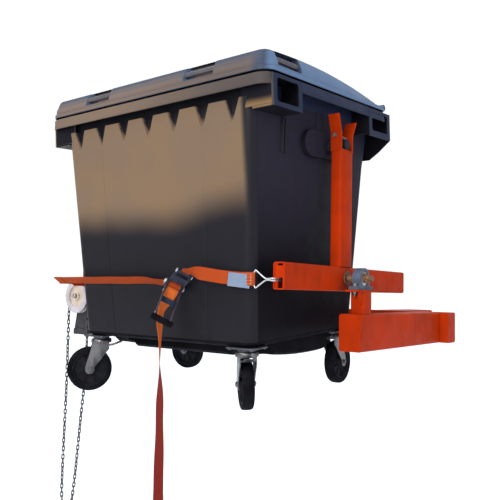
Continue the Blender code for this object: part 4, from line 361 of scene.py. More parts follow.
# The hanging tail: a painted lit orange above and painted shaded colours below
TAIL_WEBBING = woven("finish_webbing_tail", (0.78, 0.200, 0.040), (0.56, 0.115, 0.022), (0.40, 0.085, 0.026),
                     ((0.185, 0.017, 0.008), (0.120, 0.012, 0.007), (0.120, 0.012, 0.010)))
STITCH = surface("finish_thread", (0.62, 0.42, 0.30), (0.48, 0.30, 0.20), 0.8, 0.0, 60.0, 900.0,
                 specular=0.2)
LABEL = surface("finish_label", (0.115, 0.165, 0.255), (0.150, 0.180, 0.225), 0.55, 0.0, 40.0, 600.0,
                specular=0.4)
RED = surface("finish_red", (0.30, 0.020, 0.010), (0.20, 0.016, 0.010), 0.5, 0.0, 40.0, 600.0, specular=0.2)

# The look of each material slot, for the pieces that keep their CAD form
LOOKS = {"orange_paint": ORANGE, "charcoal_plastic": END, "zinc_plate": ZINC, "bare_steel": STEEL,
         "rusty_steel": RUST, "cast_grey": CAST, "black_paint": BLACK}
SLOTS = {name: node.data.materials[0].name.split(".")[0]
         for name, node in nodes.items() if node.data.materials}
WELD_DISTANCE = 0.00001
FLAT_ANGLE = math.radians(0.5)
BEVEL_ANGLE = math.radians(35.0)
EDGE_BEVEL = 0.0012


def link(name, shape, finish, node, crease=35.0, frame_matrix=None):
    """A finished piece from a drawn shape with its finish, which rides with a node's body while the node is
    hidden.
    """
    if frame_matrix is not None:
        shape.transform(frame_matrix)
    bmesh.ops.recalc_face_normals(shape, faces=shape.faces)
    mesh = bpy.data.meshes.new(name)
    shape.to_mesh(mesh)
    shape.free()
    mesh.materials.append(finish)
    made = shown(name, mesh)
    mesh.shade_smooth()
    mesh.set_sharp_from_angle(angle=math.radians(crease))
    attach(made, nodes[node]["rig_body"])
    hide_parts(node)
    return made


def bevelled(piece, width, segments=2):
    """Soft edges on a piece."""
    edges = piece.modifiers.new("edges", "BEVEL")
    edges.width = width
    edges.segments = segments
    edges.limit_method = "ANGLE"
    edges.angle_limit = BEVEL_ANGLE
    edges.harden_normals = True
    edges.use_clamp_overlap = True


def dressed(node, finish):
    """A node's own form with soft edges and a detailed finish."""
    shape = bmesh.new()
    shape.from_mesh(nodes[node].data)
    bmesh.ops.remove_doubles(shape, verts=shape.verts, dist=WELD_DISTANCE)
    bmesh.ops.dissolve_limit(shape, angle_limit=FLAT_ANGLE, verts=shape.verts, edges=shape.edges)
    bevelled(link(f"{node}_finished", shape, finish, node), EDGE_BEVEL)


# Drawing helpers
def loft(rings, closed=False, strips=False):
    """A skin through rings of points with the same count, capped at both ends unless closed on itself."""
    shape = bmesh.new()
    made = [[shape.verts.new(point) for point in ring] for ring in rings]
    count = len(made[0])
    for low, high in zip(made, made[1:] + made[:1] if closed else made[1:]):
        for index in range(count):
            after = (index + 1) % count
            shape.faces.new((low[index], low[after], high[after], high[index]))
    for ring in () if closed else (made[0], made[-1]):
        if strips:
            for index in range(count // 2 - 1):
                across = (ring[count - 2 - index], ring[count - 1 - index])
                shape.faces.new((ring[index], ring[index + 1], *across))
        else:
            shape.faces.new(ring)
    bmesh.ops.recalc_face_normals(shape, faces=shape.faces)
    return shape


def placed(point, level, axis):
    """A plan point set at a level along one axis."""
    first, second = point
    return {"x": (level, first, second), "y": (first, level, second), "z": (first, second, level)}[axis]


def prism(outline, low, high, axis):
    """A solid bar with one outline."""
    return loft([[placed(point, level, axis) for point in outline] for level in (low, high)])


def box(low, high):
    """A plain block between two corners."""
    outline = [(low[0], low[1]), (high[0], low[1]), (high[0], high[1]), (low[0], high[1])]
    return prism(outline, low[2], high[2], "z")


def arc(radius, first, last, steps, centre=(0.0, 0.0)):
    """Plan points along part of a circle, in degrees."""
    points = []
    for step in range(steps + 1):
        angle = math.radians(first + (last - first) * step / steps)
        points.append((centre[0] + radius * math.cos(angle), centre[1] + radius * math.sin(angle)))
    return points


def rounded(low, high, radius, steps=5):
    """A rectangle with round corners."""
    left, right = low[0] + radius, high[0] - radius
    near, far = low[1] + radius, high[1] - radius
    points = []
    for number, centre in enumerate(((right, near), (right, far), (left, far), (left, near))):
        points += arc(radius, 90 * number - 90, 90 * number, steps, centre)
    return points


def turned(profile, axis, centre=(0.0, 0.0), steps=48, hollow=False):
    """A turned part from radius and level pairs."""
    rings = []
    for radius, level in profile:
        ring = arc(radius, 0, 360 - 360 / steps, steps - 1, centre)
        rings.append([placed(point, level, axis) for point in ring])
    return loft(rings, closed=hollow)


def both_faces(near, middle=0.0):
    """The whole profile of a wheel from the half on one side of its middle."""
    return [(radius, middle - level) for radius, level in near] + \
           [(radius, middle + level) for radius, level in reversed(near)]


def merged(*shapes):
    """Several drawn shapes as one."""
    first = shapes[0]
    for other in shapes[1:]:
        working = bpy.data.meshes.new("working")
        other.to_mesh(working)
        other.free()
        first.from_mesh(working)
        bpy.data.meshes.remove(working)
    return first


def sided(shape, side):
    """A shape drawn on the right, or its mirror image for the left."""
    if side < 0:
        bmesh.ops.scale(shape, vec=(-1, 1, 1), verts=shape.verts)
        bmesh.ops.reverse_faces(shape, faces=shape.faces)
    return shape


def span(side, first, last):
    """Two distances from the middle plane, as a low and a high place on one side."""
    return sorted((side * first, side * last))


def carved(shape, *tools):
    """A shape with each tool's space taken out."""
    for tool in tools:
        objects = []
        for part in (shape, tool):
            mesh = bpy.data.meshes.new("working")
            part.to_mesh(mesh)
            part.free()
            objects.append(shown("working", mesh))
        cutting = objects[0].modifiers.new("cut", "BOOLEAN")
        cutting.solver = "EXACT"
        cutting.operation = "DIFFERENCE"
        cutting.object = objects[1]
        bpy.context.view_layer.update()
        shape = bmesh.new()
        shape.from_mesh(objects[0].evaluated_get(bpy.context.evaluated_depsgraph_get()).data)
        for working in objects:
            mesh = working.data
            bpy.data.objects.remove(working, do_unlink=True)
            bpy.data.meshes.remove(mesh)
        bmesh.ops.remove_doubles(shape, verts=shape.verts, dist=WELD_DISTANCE)
    return shape


def hexagon(radius, level, high, axis, centre):
    """A bolt head or nut with its corners turned off."""
    edge = level + (high - level) * 0.8
    return turned([(radius, level), (radius, edge), (radius * 0.86, high)], axis, centre, 6)


def studs(outer, radius, chamfer, reach, places, steps):
    """Turned heads on both sides of the ratchet, from the reach's inner to its outer distance."""
    heads = []
    for side in (-1, 1):
        low, high = span(side, *reach)
        for place in places:
            profile = [(outer, low), (outer, high - chamfer), (radius, high)]
            heads.append(turned(profile, "y", place, steps))
    return merged(*heads)


def wire(points, radius, steps=12, closed=False):
    """A round bar along a path, its ring turned with the least twist."""
    points = [Vector(point) for point in points]
    side = (points[1] - points[0]).normalized().orthogonal().normalized()
    rings = []
    count = len(points)
    for index, point in enumerate(points):
        before = points[(index - 1) % count] if closed else points[max(index - 1, 0)]
        after = points[(index + 1) % count] if closed else points[min(index + 1, count - 1)]
        along = (after - before).normalized()
        side = (side - side.dot(along) * along).normalized()
        up = along.cross(side)
        turns = [2 * math.pi * step / steps for step in range(steps)]
        rings.append([point + radius * (math.cos(turn) * side + math.sin(turn) * up) for turn in turns])
    return loft(rings, closed=closed)


def lengths(points):
    """How far along a path each of its points lies."""
    total = [0.0]
    for before, after in zip(points, points[1:]):
        total.append(total[-1] + (after - before).length)
    return total


def reached(points, total, target):
    """The point at a length along a path, and the number of its stretch."""
    place = min(max(bisect.bisect_left(total, target) - 1, 0), len(points) - 2)
    share = (target - total[place]) / max(total[place + 1] - total[place], 1e-7)
    return points[place].lerp(points[place + 1], share), place


def smooth_path(points, count):
    """Evenly spaced points on a smooth curve through the route's own points."""
    points = [Vector(point) for point in points]
    ends = [points[0] * 2 - points[1]] + points + [points[-1] * 2 - points[-2]]
    dense = []
    for index in range(1, len(ends) - 2):
        a, b, c, d = ends[index - 1:index + 3]
        for step in range(20):
            t = step / 20
            dense.append(0.5 * ((2 * b) + (c - a) * t + (2 * a - 5 * b + 4 * c - d) * t ** 2
                                + (3 * b - a - 3 * c + d) * t ** 3))
    dense.append(points[-1])
    total = lengths(dense)
    return [reached(dense, total, total[-1] * step / (count - 1))[0] for step in range(count)]


# Light and floor
ROOM_WHITE = (1.0, 1.0, 1.0)
ROOM_GREY = (0.30, 0.29, 0.28)
ROOM_SKY = (0.62, 0.76, 1.00)
ROOM_STRENGTH = 1.05
WHITE_RANGE = (0.25, 0.62)
SKY_RANGE = (0.30, 0.75)
SUN_STRENGTH = 2.4
SUN_WIDTH = math.radians(60)
SUN_COLOUR = (1.0, 0.98, 0.96)
SUN_TILT = (math.radians(38), math.radians(-12), 0.0)
LAMPS = {"front_key": ((1.5, -5.4, 1.3), (0.0, -1.8, 0.4), 125.0, (1.0, 0.96, 0.90)),
         "side_fill": ((4.6, -1.6, 1.0), (0.7, -1.2, 0.2), 36.0, (0.92, 0.96, 1.0))}
LAMP_SIZE = 2.2
FLOOR_LEVEL = -2.6
FLOOR_HALF = 150.0


def world():
    """An even pale room that is white behind the object, grey behind the camera and blue-grey overhead."""
    made = bpy.data.worlds.new("room")
    scene.world = made
    made.use_nodes = True
    tree = made.node_tree
    direction = tree.nodes.new("ShaderNodeTexCoord").outputs["Generated"]
    ahead = added(tree, "VectorMath", {"operation": "DOT_PRODUCT"})
    fed(tree, ahead.inputs[0], direction)
    fed(tree, ahead.inputs[1], (-math.sin(CAMERA_TURN), math.cos(CAMERA_TURN), 0.0))
    behind = ramped(tree, ahead.outputs["Value"], *WHITE_RANGE)
    room = mixed(tree, ramped(tree, axis_value(tree, direction, "Z"), *SKY_RANGE), ROOM_GREY, ROOM_SKY)
    feed(tree, tree.nodes["Background"], Color=mixed(tree, behind, room, ROOM_WHITE), Strength=ROOM_STRENGTH)


def area(name, place, target, power, colour):
    """A soft lamp aimed at a point."""
    lamp = bpy.data.lights.new(name, "AREA")
    lamp.shape = "SQUARE"
    lamp.size = LAMP_SIZE
    lamp.energy = power
    lamp.color = colour
    made = shown(name, lamp)
    made.location = place
    made.rotation_mode = "QUATERNION"
    made.rotation_quaternion = (Vector(target) - Vector(place)).to_track_quat("-Z", "Y")


def sun():
    """Wide overhead light that keeps the floor white."""
    lamp = bpy.data.lights.new("overhead", "SUN")
    lamp.energy = SUN_STRENGTH
    lamp.angle = SUN_WIDTH
    lamp.color = SUN_COLOUR
    shown("overhead", lamp).rotation_euler = SUN_TILT


def floor():
    """Plain pale floor below the chain."""
    shape = bmesh.new()
    bmesh.ops.create_grid(shape, x_segments=1, y_segments=1, size=FLOOR_HALF)
    mesh = bpy.data.meshes.new("floor")
    shape.to_mesh(mesh)
    shape.free()
    mesh.materials.append(surface("finish_floor", (0.93, 0.93, 0.93), (0.95, 0.95, 0.95), 0.9, grain=3.0,
                                  depth=0.0001, specular=0.0))
    made = shown("floor", mesh)
    made.location = (0.0, 0.0, FLOOR_LEVEL)


world()
sun()
floor()
for lamp_name, lamp_facts in LAMPS.items():
    area(lamp_name, *lamp_facts)
scene.view_settings.view_transform = "Standard"
scene.view_settings.look = "None"
scene.view_settings.exposure = 0.0

# The bin, in its own leaning frame
BIN_WALL = 0.005
RIM_HALF = 0.634
RIM_FRONT = -0.529
RIM_BACK = 0.449
RIM_LOW = 0.715
RIM_TOP = 0.759
RIM_SHELF = 0.006
RIM_LIP = 0.007
RIM_CORNER = 0.060
BODY_TOP_HALF = 0.545
BODY_LOW_HALF = 0.487
BODY_TOP_FRONT = -0.501
BODY_LOW_FRONT = -0.4605
BODY_TOP_BACK = 0.415
BODY_LOW_BACK = 0.300
BODY_LOW = -0.244
BODY_CORNER = 0.045
FOOT_HALF = 0.450
FOOT_FRONT = -0.345
FOOT_BACK = 0.160
FOOT_DROP = 0.024
FOOT_ROUND = 0.020
FOOT_INSIDE = 0.022
NOTCH_TIP = 0.597
NOTCH_TOP = 0.688
NOTCH_HALF = 0.036
NOTCH_DEEP = 0.030
NOTCH_PITCH = 0.150
LEDGE = 0.008
PANEL_PROUD = 0.004
PANEL_EDGE = 0.006
GROOVE_DEEP = 0.0035
GROOVE_HALF = 0.004
HANDLE_PLATE = 0.008
NEAR_LOOP = (-0.497, -0.303, 0.638)
NEAR_OPENING = (-0.469, -0.329, 0.656, 0.741)
REAR_LOOP = (0.246, 0.4575, 0.632)
REAR_OPENING = (0.274, 0.429, 0.659, 0.741)
LOOP_CORNER = 0.012
WINDOW_REACH = (-0.012, 0.020)
RIB_SHARES = (0.93, 0.40)
RIB_HALF = 0.005
RIB_FOOT = 0.470
RIB_SHOULDER = 0.655
HINGE_Y = 0.470
HINGE_Z = 0.797
LUG_RADIUS = 0.016
LUG_WIDE = 0.050
LUG_INSET = (0.028, 0.052)
LUG_SPREAD = (0.575, 0.200)
GUSSET_LOW = 0.552
GUSSET_TOP = 0.752
GUSSET_IN = 0.482
GUSSET_KNEES = ((0.042, 0.0), (0.092, 0.032))
SINK = 0.0035
HAIR = 0.0004
FRONT_STEPS = 336
SIDE_STEPS = 20
CORNER_STEPS = 9


def between(z, low, high):
    """A body size at height z, from its values at the foot and under the rim."""
    return low + (high - low) * (z - BODY_LOW) / (RIM_LOW - BODY_LOW)


def smooth(value):
    """A soft step from 0 to 1."""
    value = min(max(value, 0.0), 1.0)
    return value * value * (3 - 2 * value)


def front_relief(x, straight, z):
    """How far the notched front wall stands in at a place, with its proud middle panel."""
    share = min(max((z - NOTCH_TIP) / (NOTCH_TOP - NOTCH_TIP), 0.0), 1.0)
    pitch = NOTCH_PITCH * straight / (BODY_TOP_HALF - BODY_CORNER)
    inset = 0.0
    for place in range(-3, 4):
        offset = (x - place * pitch) / (NOTCH_HALF * share + 0.0001)
        if -1 < offset < 1 and share > 0:
            ramp = (offset + 1) / 0.30 if offset < 0 else (1 - offset) / 0.85
            inset = max(inset, NOTCH_DEEP * share * smooth(ramp))
    edge = 2 * pitch
    panel = smooth((edge + PANEL_EDGE / 2 - abs(x)) / PANEL_EDGE)
    groove = GROOVE_DEEP * math.exp(-((x + edge + GROOVE_HALF) / GROOVE_HALF) ** 2) if z < NOTCH_TIP else 0.0
    return inset - PANEL_PROUD * panel + groove


def bin_ring(half, front, back, radius, z, relief=True, ledge=False):
    """One dense ring of the tub."""
    straight = half - radius
    points = []
    for step in range(FRONT_STEPS):
        x = -straight + 2 * straight * step / FRONT_STEPS
        inset = NOTCH_DEEP if ledge else front_relief(x, straight, z) if relief else 0.0
        points.append((x, front + inset, z))
    corners = ((straight, front + radius, -90), (straight, back - radius, 0),
               (-straight, back - radius, 90), (-straight, front + radius, 180))
    for number, (across, up, start) in enumerate(corners):
        for x, y in arc(radius, start, start + 90, CORNER_STEPS, (across, up)):
            points.append((x, max(y, front + NOTCH_DEEP) if ledge and number in (0, 3) else y, z))
        if number < 3:
            after = corners[number + 1]
            first = points[-1]
            last = arc(radius, after[2], after[2] + 90, 1, after[:2])[0]
            for step in range(1, SIDE_STEPS):
                share = step / SIDE_STEPS
                points.append((first[0] + (last[0] - first[0]) * share,
                               first[1] + (last[1] - first[1]) * share, z))
    return points


def plan(z, inset=0.0):
    """The body's plan at height z, drawn in by inset."""
    return (between(z, BODY_LOW_HALF, BODY_TOP_HALF) - inset,
            between(z, BODY_LOW_FRONT, BODY_TOP_FRONT) + inset,
            between(z, BODY_LOW_BACK, BODY_TOP_BACK) - inset, BODY_CORNER - min(inset, BODY_CORNER / 2))


def foot(inset):
    """The plan of the dropped floor, drawn in by inset."""
    return FOOT_HALF - inset, FOOT_FRONT + inset, FOOT_BACK - inset, BODY_CORNER


def rim(inset):
    """The rim's plan, drawn in by inset."""
    return RIM_HALF - inset, RIM_FRONT + inset, RIM_BACK - inset, RIM_CORNER - inset


def window(opening):
    """The outline of a loop's opening, in the plane of the rim's end."""
    return rounded((opening[0], opening[2]), (opening[1], opening[3]), LOOP_CORNER)


def bin_faces(piece):
    """Each face of a piece of the bin, with its middle and its normal in the bin's own frame."""
    for face in piece.data.polygons:
        yield face, FROM_BIN @ face.center, FROM_BIN.to_3x3() @ face.normal


def tub():
    """The tub's skin in one piece: dropped floor, walls, notched front and channel rim, with its inside."""
    rings = [bin_ring(*foot(inset), BODY_LOW - drop, False)
             for inset, drop in ((FOOT_ROUND, FOOT_DROP), (0.004, 0.020), (0.0, 0.006), (0.0, 0.0))]
    for step in range(7):
        angle = math.radians(15 * step)
        draw = FOOT_ROUND * (1 - math.sin(angle))
        z = BODY_LOW + FOOT_ROUND * (1 - math.cos(angle))
        half, front, back, corner = plan(z)
        rings.append(bin_ring(half - draw, front + draw, back - draw, corner, z, step > 3))
    wall_foot = BODY_LOW + FOOT_ROUND
    levels = [wall_foot + (NOTCH_TIP - wall_foot) * step / 14 for step in range(1, 15)]
    levels += [NOTCH_TIP + (NOTCH_TOP - NOTCH_TIP) * step / 26 for step in range(1, 27)]
    rings += [bin_ring(*plan(z), z) for z in levels]
    shelf = RIM_TOP - RIM_SHELF
    for z, ledge in ((NOTCH_TOP + 0.001, False), (NOTCH_TOP + 0.005, True), (shelf, True)):
        rings.append(bin_ring(*plan(min(z, RIM_LOW)), z, ledge=ledge))
    for inset, z in ((RIM_LIP, shelf), (RIM_LIP, RIM_LOW + 0.002), (RIM_LIP - 0.002, RIM_LOW),
                     (0.002, RIM_LOW), (0.0, RIM_LOW + 0.002), (0.0, RIM_LOW + 0.016),
                     (0.0012, RIM_LOW + 0.019), (0.0012, RIM_TOP - 0.006), (0.0030, RIM_TOP - 0.002),
                     (0.0065, RIM_TOP)):
        rings.append(bin_ring(*rim(inset), z, False))
    inner = plan(RIM_LOW, BIN_WALL)
    rings += [bin_ring(*inner, z, ledge=True) for z in (RIM_TOP, NOTCH_TOP + LEDGE - 0.007)]
    for step in range(5):
        z = NOTCH_TOP - LEDGE - (NOTCH_TOP - NOTCH_TIP) * step / 4
        rings.append(bin_ring(*plan(z + LEDGE / 2, BIN_WALL), z))
    rings += [bin_ring(*plan(z, BIN_WALL), z) for z in (0.30, 0.0, BODY_LOW + FOOT_INSIDE)]
    half, front, back, corner = plan(BODY_LOW)
    inside = (half - FOOT_INSIDE, front + FOOT_INSIDE, back - FOOT_INSIDE, corner)
    rings += [bin_ring(*inside, BODY_LOW + BIN_WALL, False),
              bin_ring(*foot(BIN_WALL), BODY_LOW + BIN_WALL, False),
              bin_ring(*foot(FOOT_INSIDE), BODY_LOW + BIN_WALL - FOOT_DROP, False)]
    windows = []
    for side in (-1, 1):
        low_x, high_x = span(side, *(RIM_HALF + reach for reach in WINDOW_REACH))
        windows.append(prism(window(NEAR_OPENING), low_x, high_x, "x"))
    made = link("bin_tub", carved(loft(rings), merged(*windows)), END, "bin_body", 28.0, BIN)
    for finish in (BODY, RIM, UNDER_SHADE):
        made.data.materials.append(finish)
    for face, middle, facing in bin_faces(made):
        outside = middle.z > BODY_LOW and abs(middle.x) < BODY_TOP_HALF + 0.01
        # Downward faces of the floor take the darker underside material, painted shade
        if middle.z < BODY_LOW + FOOT_INSIDE and facing.z < -0.1:
            face.material_index = 3
        # Faces above the notches take the rim's painted reflection
        elif middle.z > NOTCH_TOP + 0.003:
            face.material_index = 2
        # Front faces take the front's painted warm reflection
        elif facing.y < -0.25 and middle.y < BODY_LOW_FRONT + 0.05 and outside:
            face.material_index = 1


# The belly that hangs between the castors
BELLY_HALF = 0.466
BELLY_FRONT = -0.345
BELLY_BACK = 0.279
BELLY_DEEP = 0.072
BELLY_MIDDLE = 0.040
BELLY_AHEAD = 0.56
BELLY_BEHIND = 0.33
BELLY_KEEL = 0.014
BELLY_KEEL_HALF = 0.281
BELLY_KEEL_EDGE = 0.006
BELLY_RIM_DRAW = 0.010
BELLY_RIM = 0.014
BELLY_CLEAR = 0.102
BELLY_CLEAR_EDGE = 0.033
BELLY_LAP = 0.0015
BELLY_STEPS = (96, 64)
CASTORS = {"front_left": (-0.427, -0.415, 142.0), "front_right": (0.427, -0.415, 46.0),
           "rear_right": (0.427, 0.225, 4.0), "rear_left": (-0.427, 0.225, 92.0)}


def belly_depth(x, y):
    """How far the belly hangs below the wall's foot, with a keel and a raised pocket at each castor."""
    reach = BELLY_AHEAD if y < BELLY_MIDDLE else BELLY_BEHIND
    depth = BELLY_DEEP * (1 - ((y - BELLY_MIDDLE) / reach) ** 2)
    depth += BELLY_KEEL * smooth((BELLY_KEEL_HALF - abs(x)) / BELLY_KEEL_EDGE)
    edge = min(BELLY_HALF - abs(x), y - BELLY_FRONT, BELLY_BACK - y)
    depth -= BELLY_RIM_DRAW * (1 - smooth(edge / BELLY_RIM))
    for across, up, heading in CASTORS.values():
        depth *= smooth((math.hypot(x - across, y - up) - BELLY_CLEAR) / BELLY_CLEAR_EDGE)
    return max(depth, HAIR)


def belly():
    """The dropped belly between the castors, as one closed skin under the floor."""
    shape = bmesh.new()
    wide, long = BELLY_STEPS
    rows = []
    for row in range(long + 1):
        y = BELLY_FRONT + (BELLY_BACK - BELLY_FRONT) * row / long
        spots = [BELLY_HALF * (2 * step / wide - 1) for step in range(wide + 1)]
        rows.append([shape.verts.new((x, y, BODY_LOW - belly_depth(x, y))) for x in spots])
    for near, far in zip(rows, rows[1:]):
        for step in range(wide):
            shape.faces.new((near[step], near[step + 1], far[step + 1], far[step]))
    edge = rows[0] + [row[-1] for row in rows[1:]] + rows[-1][-2::-1] + [row[0] for row in rows[-2:0:-1]]
    roof = [shape.verts.new((point.co.x, point.co.y, BODY_LOW + BELLY_LAP)) for point in edge]
    for index in range(len(edge)):
        after = (index + 1) % len(edge)
        shape.faces.new((edge[index], edge[after], roof[after], roof[index]))
    shape.faces.new(roof)
    # The belly takes the darker underside material, painted shade
    link("bin_belly", shape, UNDER_SHADE, "bin_body", 40.0, BIN)


def loop_shape(loop, opening):
    """One end loop on the right: its plate with the opening, and its shelf and webs behind."""
    near = loop is NEAR_LOOP
    face = RIM_HALF + HAIR
    top = RIM_TOP - 0.004
    plate = box((face - HANDLE_PLATE, loop[0], loop[2]), (face, loop[1], top))
    plate = carved(plate, prism(window(opening), face - 0.02, face + 0.01, "x"))
    inner = between(loop[2], BODY_LOW_HALF, BODY_TOP_HALF) - BIN_WALL / 2
    reach = face - 2 * HAIR
    webs = []
    if near:
        webs.append(box((inner, loop[0] + 0.002, loop[2] - 0.0001),
                        (face - 0.001, loop[1] - 0.002, loop[2] + 0.012)))
    foot_z = loop[2] + HANDLE_PLATE
    starts = [(loop[0] + HAIR, inner - BODY_CORNER - 0.004 if near else inner)]
    if near:
        starts.append((loop[1] - HANDLE_PLATE - HAIR, inner))
    for y, start in starts:
        outline = [(start, foot_z), (reach, foot_z), (reach, top), (start, top)]
        webs.append(prism(outline, y, y + HANDLE_PLATE, "y"))
    return merged(plate, *webs)


def loops():
    """The four end loops with their webs, the rear ones' gussets, and the rim's back ribs and lugs."""
    face = RIM_HALF + HAIR
    shapes = []
    for side in (-1, 1):
        for loop, opening in ((NEAR_LOOP, NEAR_OPENING), (REAR_LOOP, REAR_OPENING)):
            shapes.append(sided(loop_shape(loop, opening), side))
        for share in RIB_SHARES:
            middle = side * share * BODY_TOP_HALF
            outline = [(between(RIB_FOOT, BODY_LOW_BACK, BODY_TOP_BACK) - 0.003, RIB_FOOT),
                       (RIM_BACK - SINK, RIB_SHOULDER), (RIM_BACK - SINK, RIM_TOP - 0.003),
                       (BODY_TOP_BACK, RIM_TOP - 0.003)]
            shapes.append(prism(outline, middle - RIB_HALF, middle + RIB_HALF, "x"))
        for spread in LUG_SPREAD:
            low_x, high_x = span(side, *(spread - inset for inset in LUG_INSET))
            outline = [(RIM_BACK - SINK, 0.721), (HINGE_Y + LUG_RADIUS, 0.737)]
            outline += arc(LUG_RADIUS, 0, 180, 14, (HINGE_Y, HINGE_Z))
            outline += [(RIM_BACK + HAIR, RIM_TOP), (RIM_BACK - SINK, RIM_TOP - 0.003)]
            shapes.append(prism(outline, low_x, high_x, "x"))
        back = REAR_LOOP[1] - HAIR
        outline = [(face - 2 * HAIR, REAR_LOOP[2]), (face - 2 * HAIR, GUSSET_TOP), (GUSSET_IN, GUSSET_TOP),
                   (GUSSET_IN, GUSSET_LOW)]
        outline += [(GUSSET_IN + out, GUSSET_LOW + up) for out, up in GUSSET_KNEES]
        gusset = merged(prism(outline, back - HANDLE_PLATE, back, "y"),
                        box((GUSSET_IN, BODY_TOP_BACK - 0.030, GUSSET_LOW),
                            (GUSSET_IN + HANDLE_PLATE, back - 0.001, RIM_LOW)))
        shapes.append(sided(gusset, side))
    made = link("bin_loops_and_lugs", merged(*shapes), RIM, "bin_body", 35.0, BIN)
    made.data.materials.append(WEB)
    # Faces that look ahead take the web's painted warm light, with a painted shadow under the rim
    for panel, middle, facing in bin_faces(made):
        if facing.y < -0.5 and middle.z < RIM_TOP and abs(middle.x) < face - 0.004:
            panel.material_index = 1
    bevelled(made, 0.0016, 3)


END_RELIEFS = ((-0.313, -0.299, 0.500, 0.636, 0.009), (-0.293, -0.279, 0.500, 0.636, 0.009),
               (-0.060, 0.000, 0.500, 0.700, 0.003), (-0.300, 0.180, 0.020, 0.030, 0.003))


def end_relief():
    """Shallow ribs and the lightly proud panel moulded in the end walls."""
    for side, word in ((1, "right"), (-1, "left")):
        shapes = []
        for low_y, high_y, low_z, high_z, proud in END_RELIEFS:
            rings = []
            for reach, draw in ((-0.002, 0.0), (proud * 0.7, 0.001), (proud, 0.003)):
                outline = rounded((low_y + draw, low_z + draw), (high_y - draw, high_z - draw), 0.003, 3)
                rings.append([(between(z, BODY_LOW_HALF, BODY_TOP_HALF) + reach, y, z) for y, z in outline])
            shapes.append(sided(loft(rings), side))
        link(f"bin_end_relief_{word}", merged(*shapes), END, "bin_body", 40.0, BIN)


# The lid
LID_GAP = 0.007
LID_EDGE = 0.0175
LID_WALL = 0.004
LID_STEP = 0.006
LID_OVERLAP = 0.002
LID_CROWN = 0.858
LID_CREST_Y = -0.250
LID_FALL = 0.140
LID_CORNER = 0.062
# Shoulder of the lid: how far it draws in, how far it stands below the crown, and its least height
LID_SHOULDER = ((0.0010, 0.046, 0.0030), (0.0080, 0.032, 0.0040), (0.0118, 0.022, 0.0050),
                (0.0155, 0.0135, 0.0060), (0.0195, 0.0075, 0.0070), (0.0250, 0.0032, 0.0080),
                (0.0310, 0.0010, 0.0090), (0.0380, 0.0, 0.0095))
POCKET_X = 0.297
POCKET_WIDE = 0.156
POCKET_DEEP = 0.070
POCKET_FLOOR = 0.792
POCKET_END_Y = -0.370
POCKET_ROOF = 0.0075
POCKET_CORNER = 0.014
POCKET_OVERRUN = 0.030
GRIP_LOW = 0.808
GRIP_HIGH = 0.020
GRIP_THICK = 0.016
GRIP_INSET = 0.020
GRIP_CORNER = 0.0065


def lid_height(y):
    """Height of the lid's shoulder, which falls towards the hinge."""
    return LID_CROWN - LID_FALL * (y - LID_CREST_Y) ** 2


def lid_ring(inset, height):
    """One symmetric ring of the lid; height is a level or a function of Y."""
    inset += LID_OVERLAP
    half, front, back = RIM_HALF - inset, RIM_FRONT + inset, RIM_BACK - inset
    radius = max(LID_CORNER + LID_OVERLAP - inset, LID_CORNER / 4)
    right = arc(radius, -90, 0, 9, (half - radius, front + radius))
    for step in range(1, 16):
        right.append((half, front + radius + (back - front - 2 * radius) * step / 16))
    right += arc(radius, 0, 90, 9, (half - radius, back - radius))
    ring = right + [(-x, y) for x, y in reversed(right)]
    return [(x, y, height(y) if callable(height) else height) for x, y in ring]


def lid_skin(inset, drop, low):
    """The lid's skin, drawn in and lowered for its inside."""
    crease = RIM_TOP + LID_GAP + LID_EDGE

    def side(fall, least):
        return lambda y: max(lid_height(y) - fall, crease + least) - drop

    edge = [(0.002, low), (0.0, low + 0.002), (0.0, crease - drop - 0.002), (0.0015, crease - drop)]
    if drop:
        edge = [(0.0, low), (0.0, crease - drop)]
    rings = [lid_ring(inset + draw, z) for draw, z in edge]
    rings.append(lid_ring(inset + LID_STEP, crease + 0.0015 - drop))
    for draw, fall, least in LID_SHOULDER:
        rings.append(lid_ring(inset + LID_STEP + draw, side(fall, least)))
    return loft(rings, strips=True)


def pocket_boxes(grow):
    """The four hand pockets, drawn larger by grow for the lid's inside."""
    top = LID_CROWN - POCKET_ROOF + grow
    reach = POCKET_WIDE / 2 + grow
    boxes = []
    for side in (-1, 1):
        middle = side * POCKET_X
        low_x, high_x = span(side, RIM_HALF - POCKET_DEEP - grow, RIM_HALF + POCKET_OVERRUN)
        near, far = RIM_FRONT - POCKET_OVERRUN, RIM_FRONT + POCKET_DEEP + grow
        for low, high in (((middle - reach, near), (middle + reach, far)),
                          ((low_x, POCKET_END_Y - reach), (high_x, POCKET_END_Y + reach))):
            boxes.append(prism(rounded(low, high, POCKET_CORNER), POCKET_FLOOR - grow, top, "z"))
    return boxes


